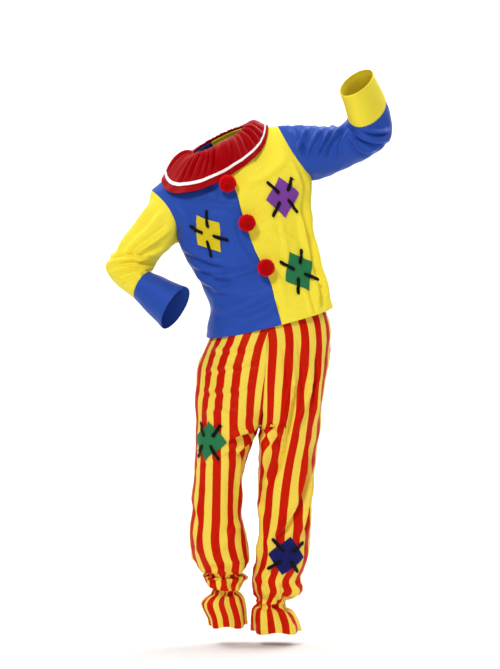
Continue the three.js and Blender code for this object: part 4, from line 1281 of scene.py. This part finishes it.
class COSTUME_OT_pompoms(bpy.types.Operator):
    """Makes the three pompoms of the front seam"""
    bl_idname = "costume.pompoms"
    bl_label = "Pompoms"

    def execute(self, context):
        s = context.scene.costume
        tree = fibre_tree(finishes(s)["red_pile"])
        for seed, (name, (x, z, stand)) in enumerate(POMPOM_PLACES.items()):
            u, v = find(tunic, x, z, [0.5, 3.0])
            u, v = np.array(u), np.array(v)
            middle = tunic(u, v) + outward(tunic, u, v, 1, (0, 1, 0, HEM_ROW)) * stand
            middle = (middle - NECK_CENTRE) * MM
            mesh = bpy.data.meshes.new(f"pompom_{name}_pile")
            shape = bmesh.new()
            bmesh.ops.create_icosphere(shape, subdivisions=4, radius=POMPOM_CORE * MM)
            for vertex in shape.verts:
                vertex.co += vertex.co.normalized() * 0.0004 * math.sin(vertex.index * 2.3)
                vertex.co += Vector(middle.tolist())
            shape.to_mesh(mesh)
            shape.free()
            ball = linked(f"pompom_{name}_pile", mesh)
            density = s.fibre_density * 1
            fluffed(ball, tree, (density, s.fibre_length, FIBRE_ROOT, seed + 5))
            stand_for(ball, f"pompom_{name}", "red_pile")
            ball.data.polygons.foreach_set("use_smooth", [True] * len(ball.data.polygons))
        return cover("pompom_top_pile", "pompom_middle_pile", "pompom_bottom_pile")


class COSTUME_OT_patches(bpy.types.Operator):
    """Lays the felt patches and their bars on the panels"""
    bl_idname = "costume.patches"
    bl_label = "Felt patches"

    def execute(self, context):
        for name in PATCHES:
            lay_patch(name, context.scene.costume)
        return cover(*(name + "_felt" for name in PATCHES))


FLOOR = -1.158
VIEW_CENTRE = (0.0708, -0.4454)
VIEW_HEIGHT = 1.539
VIEW_DISTANCE = 6.0
SENSOR = 36.0
SWEEP_FROM = 2.2  # where the floor's paper begins to turn up, in metres
SWEEP_RADIUS = 1.2
# name, place, aim, size in metres, power in watts
LIGHTS = (
    ("key_light", (-1.2, -3.8, 2.4), (0, 0, -0.4), 1.0, 119),
    ("fill_light", (2.8, -3.4, 0.8), (0.1, 0, -0.5), 2.0, 14),
    ("low_light", (0.6, -4.2, -0.5), (0.1, 0, -0.9), 1.6, 12),
    ("back_light", (1.2, 1.7, 1.9), (0.1, 0.2, -0.3), 1.6, 26),
    ("paper_light", (-1.6, 0.9, 2.4), (0, 3.2, -0.6), 2.4, 90),
    ("paper_light_low", (1.8, 0.9, 2.2), (0, 3.2, -0.9), 2.4, 70),
)


class COSTUME_OT_stage(bpy.types.Operator):
    """Sets the floor, the lights and the camera"""
    bl_idname = "costume.stage"
    bl_label = "Stage"

    def execute(self, context):
        scene = context.scene
        # the paper is see-through from behind, so that it never hides the costume
        white, tree, paper = new_material("studio_paper", Base_Color=(0.88, 0.88, 0.88, 1), Roughness=0.9)
        side, clear = add(tree, "ShaderNodeNewGeometry"), add(tree, "ShaderNodeBsdfTransparent")
        feeds = {"Fac": side.outputs["Backfacing"], 1: paper.outputs["BSDF"], 2: clear.outputs["BSDF"]}
        pick = add(tree, "ShaderNodeMixShader", {}, feeds)
        tree.links.new(pick.outputs["Shader"], tree.nodes["Material Output"].inputs["Surface"])
        verts, faces = [], []
        r = SWEEP_RADIUS
        bend = [(-9.0, 0.0), (SWEEP_FROM, 0.0)]
        bend += [(SWEEP_FROM + r * math.sin(a), r - r * math.cos(a)) for a in np.linspace(0.1, PI / 2, 14)]
        bend += [(SWEEP_FROM + r, 6.0)]
        for y, z in bend:
            verts += [(-8, y, z + FLOOR), (8, y, z + FLOOR)]
        for k in range(len(bend) - 1):
            faces.append((2 * k, 2 * k + 1, 2 * k + 3, 2 * k + 2))
        mesh = bpy.data.meshes.new("studio_floor")
        mesh.from_pydata(verts, [], faces)
        mesh.materials.append(white)
        mesh.polygons.foreach_set("use_smooth", [True] * len(faces))
        linked("studio_floor", mesh)
        for name, place, aim, size, power in LIGHTS:
            lamp = bpy.data.lights.new(name, "AREA")
            lamp.shape = "DISK"
            lamp.size = size
            lamp.energy = power
            light = bpy.data.objects.new(name, lamp)
            light.location = place
            light.rotation_mode = "QUATERNION"
            way = Vector(aim) - Vector(place)
            light.rotation_quaternion = way.to_track_quat("-Z", "Y")
            scene.collection.objects.link(light)
        world = bpy.data.worlds.new("studio_air")
        world.use_nodes = True
        air = world.node_tree.nodes["Background"]
        air.inputs["Color"].default_value = (1, 1, 1, 1)
        air.inputs["Strength"].default_value = 0.2
        scene.world = world
        scene.view_settings.view_transform = "Standard"
        lens = bpy.data.cameras.new("camera")
        lens.sensor_width = SENSOR
        lens.lens = SENSOR * VIEW_DISTANCE / VIEW_HEIGHT
        camera = bpy.data.objects.new("camera", lens)
        camera.location = (VIEW_CENTRE[0], -VIEW_DISTANCE, VIEW_CENTRE[1])
        camera.rotation_euler = (PI / 2, 0, 0)
        scene.collection.objects.link(camera)
        scene.camera = camera
        return cover("studio_floor", "camera")


OPERATORS = (
    COSTUME_OT_tunic,
    COSTUME_OT_sleeves,
    COSTUME_OT_trousers,
    COSTUME_OT_collar,
    COSTUME_OT_pompoms,
    COSTUME_OT_patches,
    COSTUME_OT_stage,
)


class COSTUME_PT_panel(bpy.types.Panel):
    """Lists the costume's settings and the pieces it can sew"""
    bl_idname = "COSTUME_PT_panel"
    bl_label = "Clown costume"
    bl_space_type = "VIEW_3D"
    bl_region_type = "UI"
    bl_category = "Costume"

    def draw(self, context):
        for name in CostumeSettings.__annotations__:
            self.layout.prop(context.scene.costume, name)
        for operator in OPERATORS:
            self.layout.operator(operator.bl_idname)


CLASSES = (CostumeSettings, *OPERATORS, COSTUME_PT_panel)


def register():
    for item in CLASSES:
        bpy.utils.register_class(item)
    bpy.types.Scene.costume = bpy.props.PointerProperty(type=CostumeSettings)


def unregister():
    del bpy.types.Scene.costume
    for item in reversed(CLASSES):
        bpy.utils.unregister_class(item)


def main():
    register()
    bpy.ops.costume.tunic()
    bpy.ops.costume.sleeves()
    bpy.ops.costume.trousers()
    bpy.ops.costume.collar()
    bpy.ops.costume.pompoms()
    bpy.ops.costume.patches()
    bpy.ops.costume.stage()


if __name__ == "__main__":
    main()
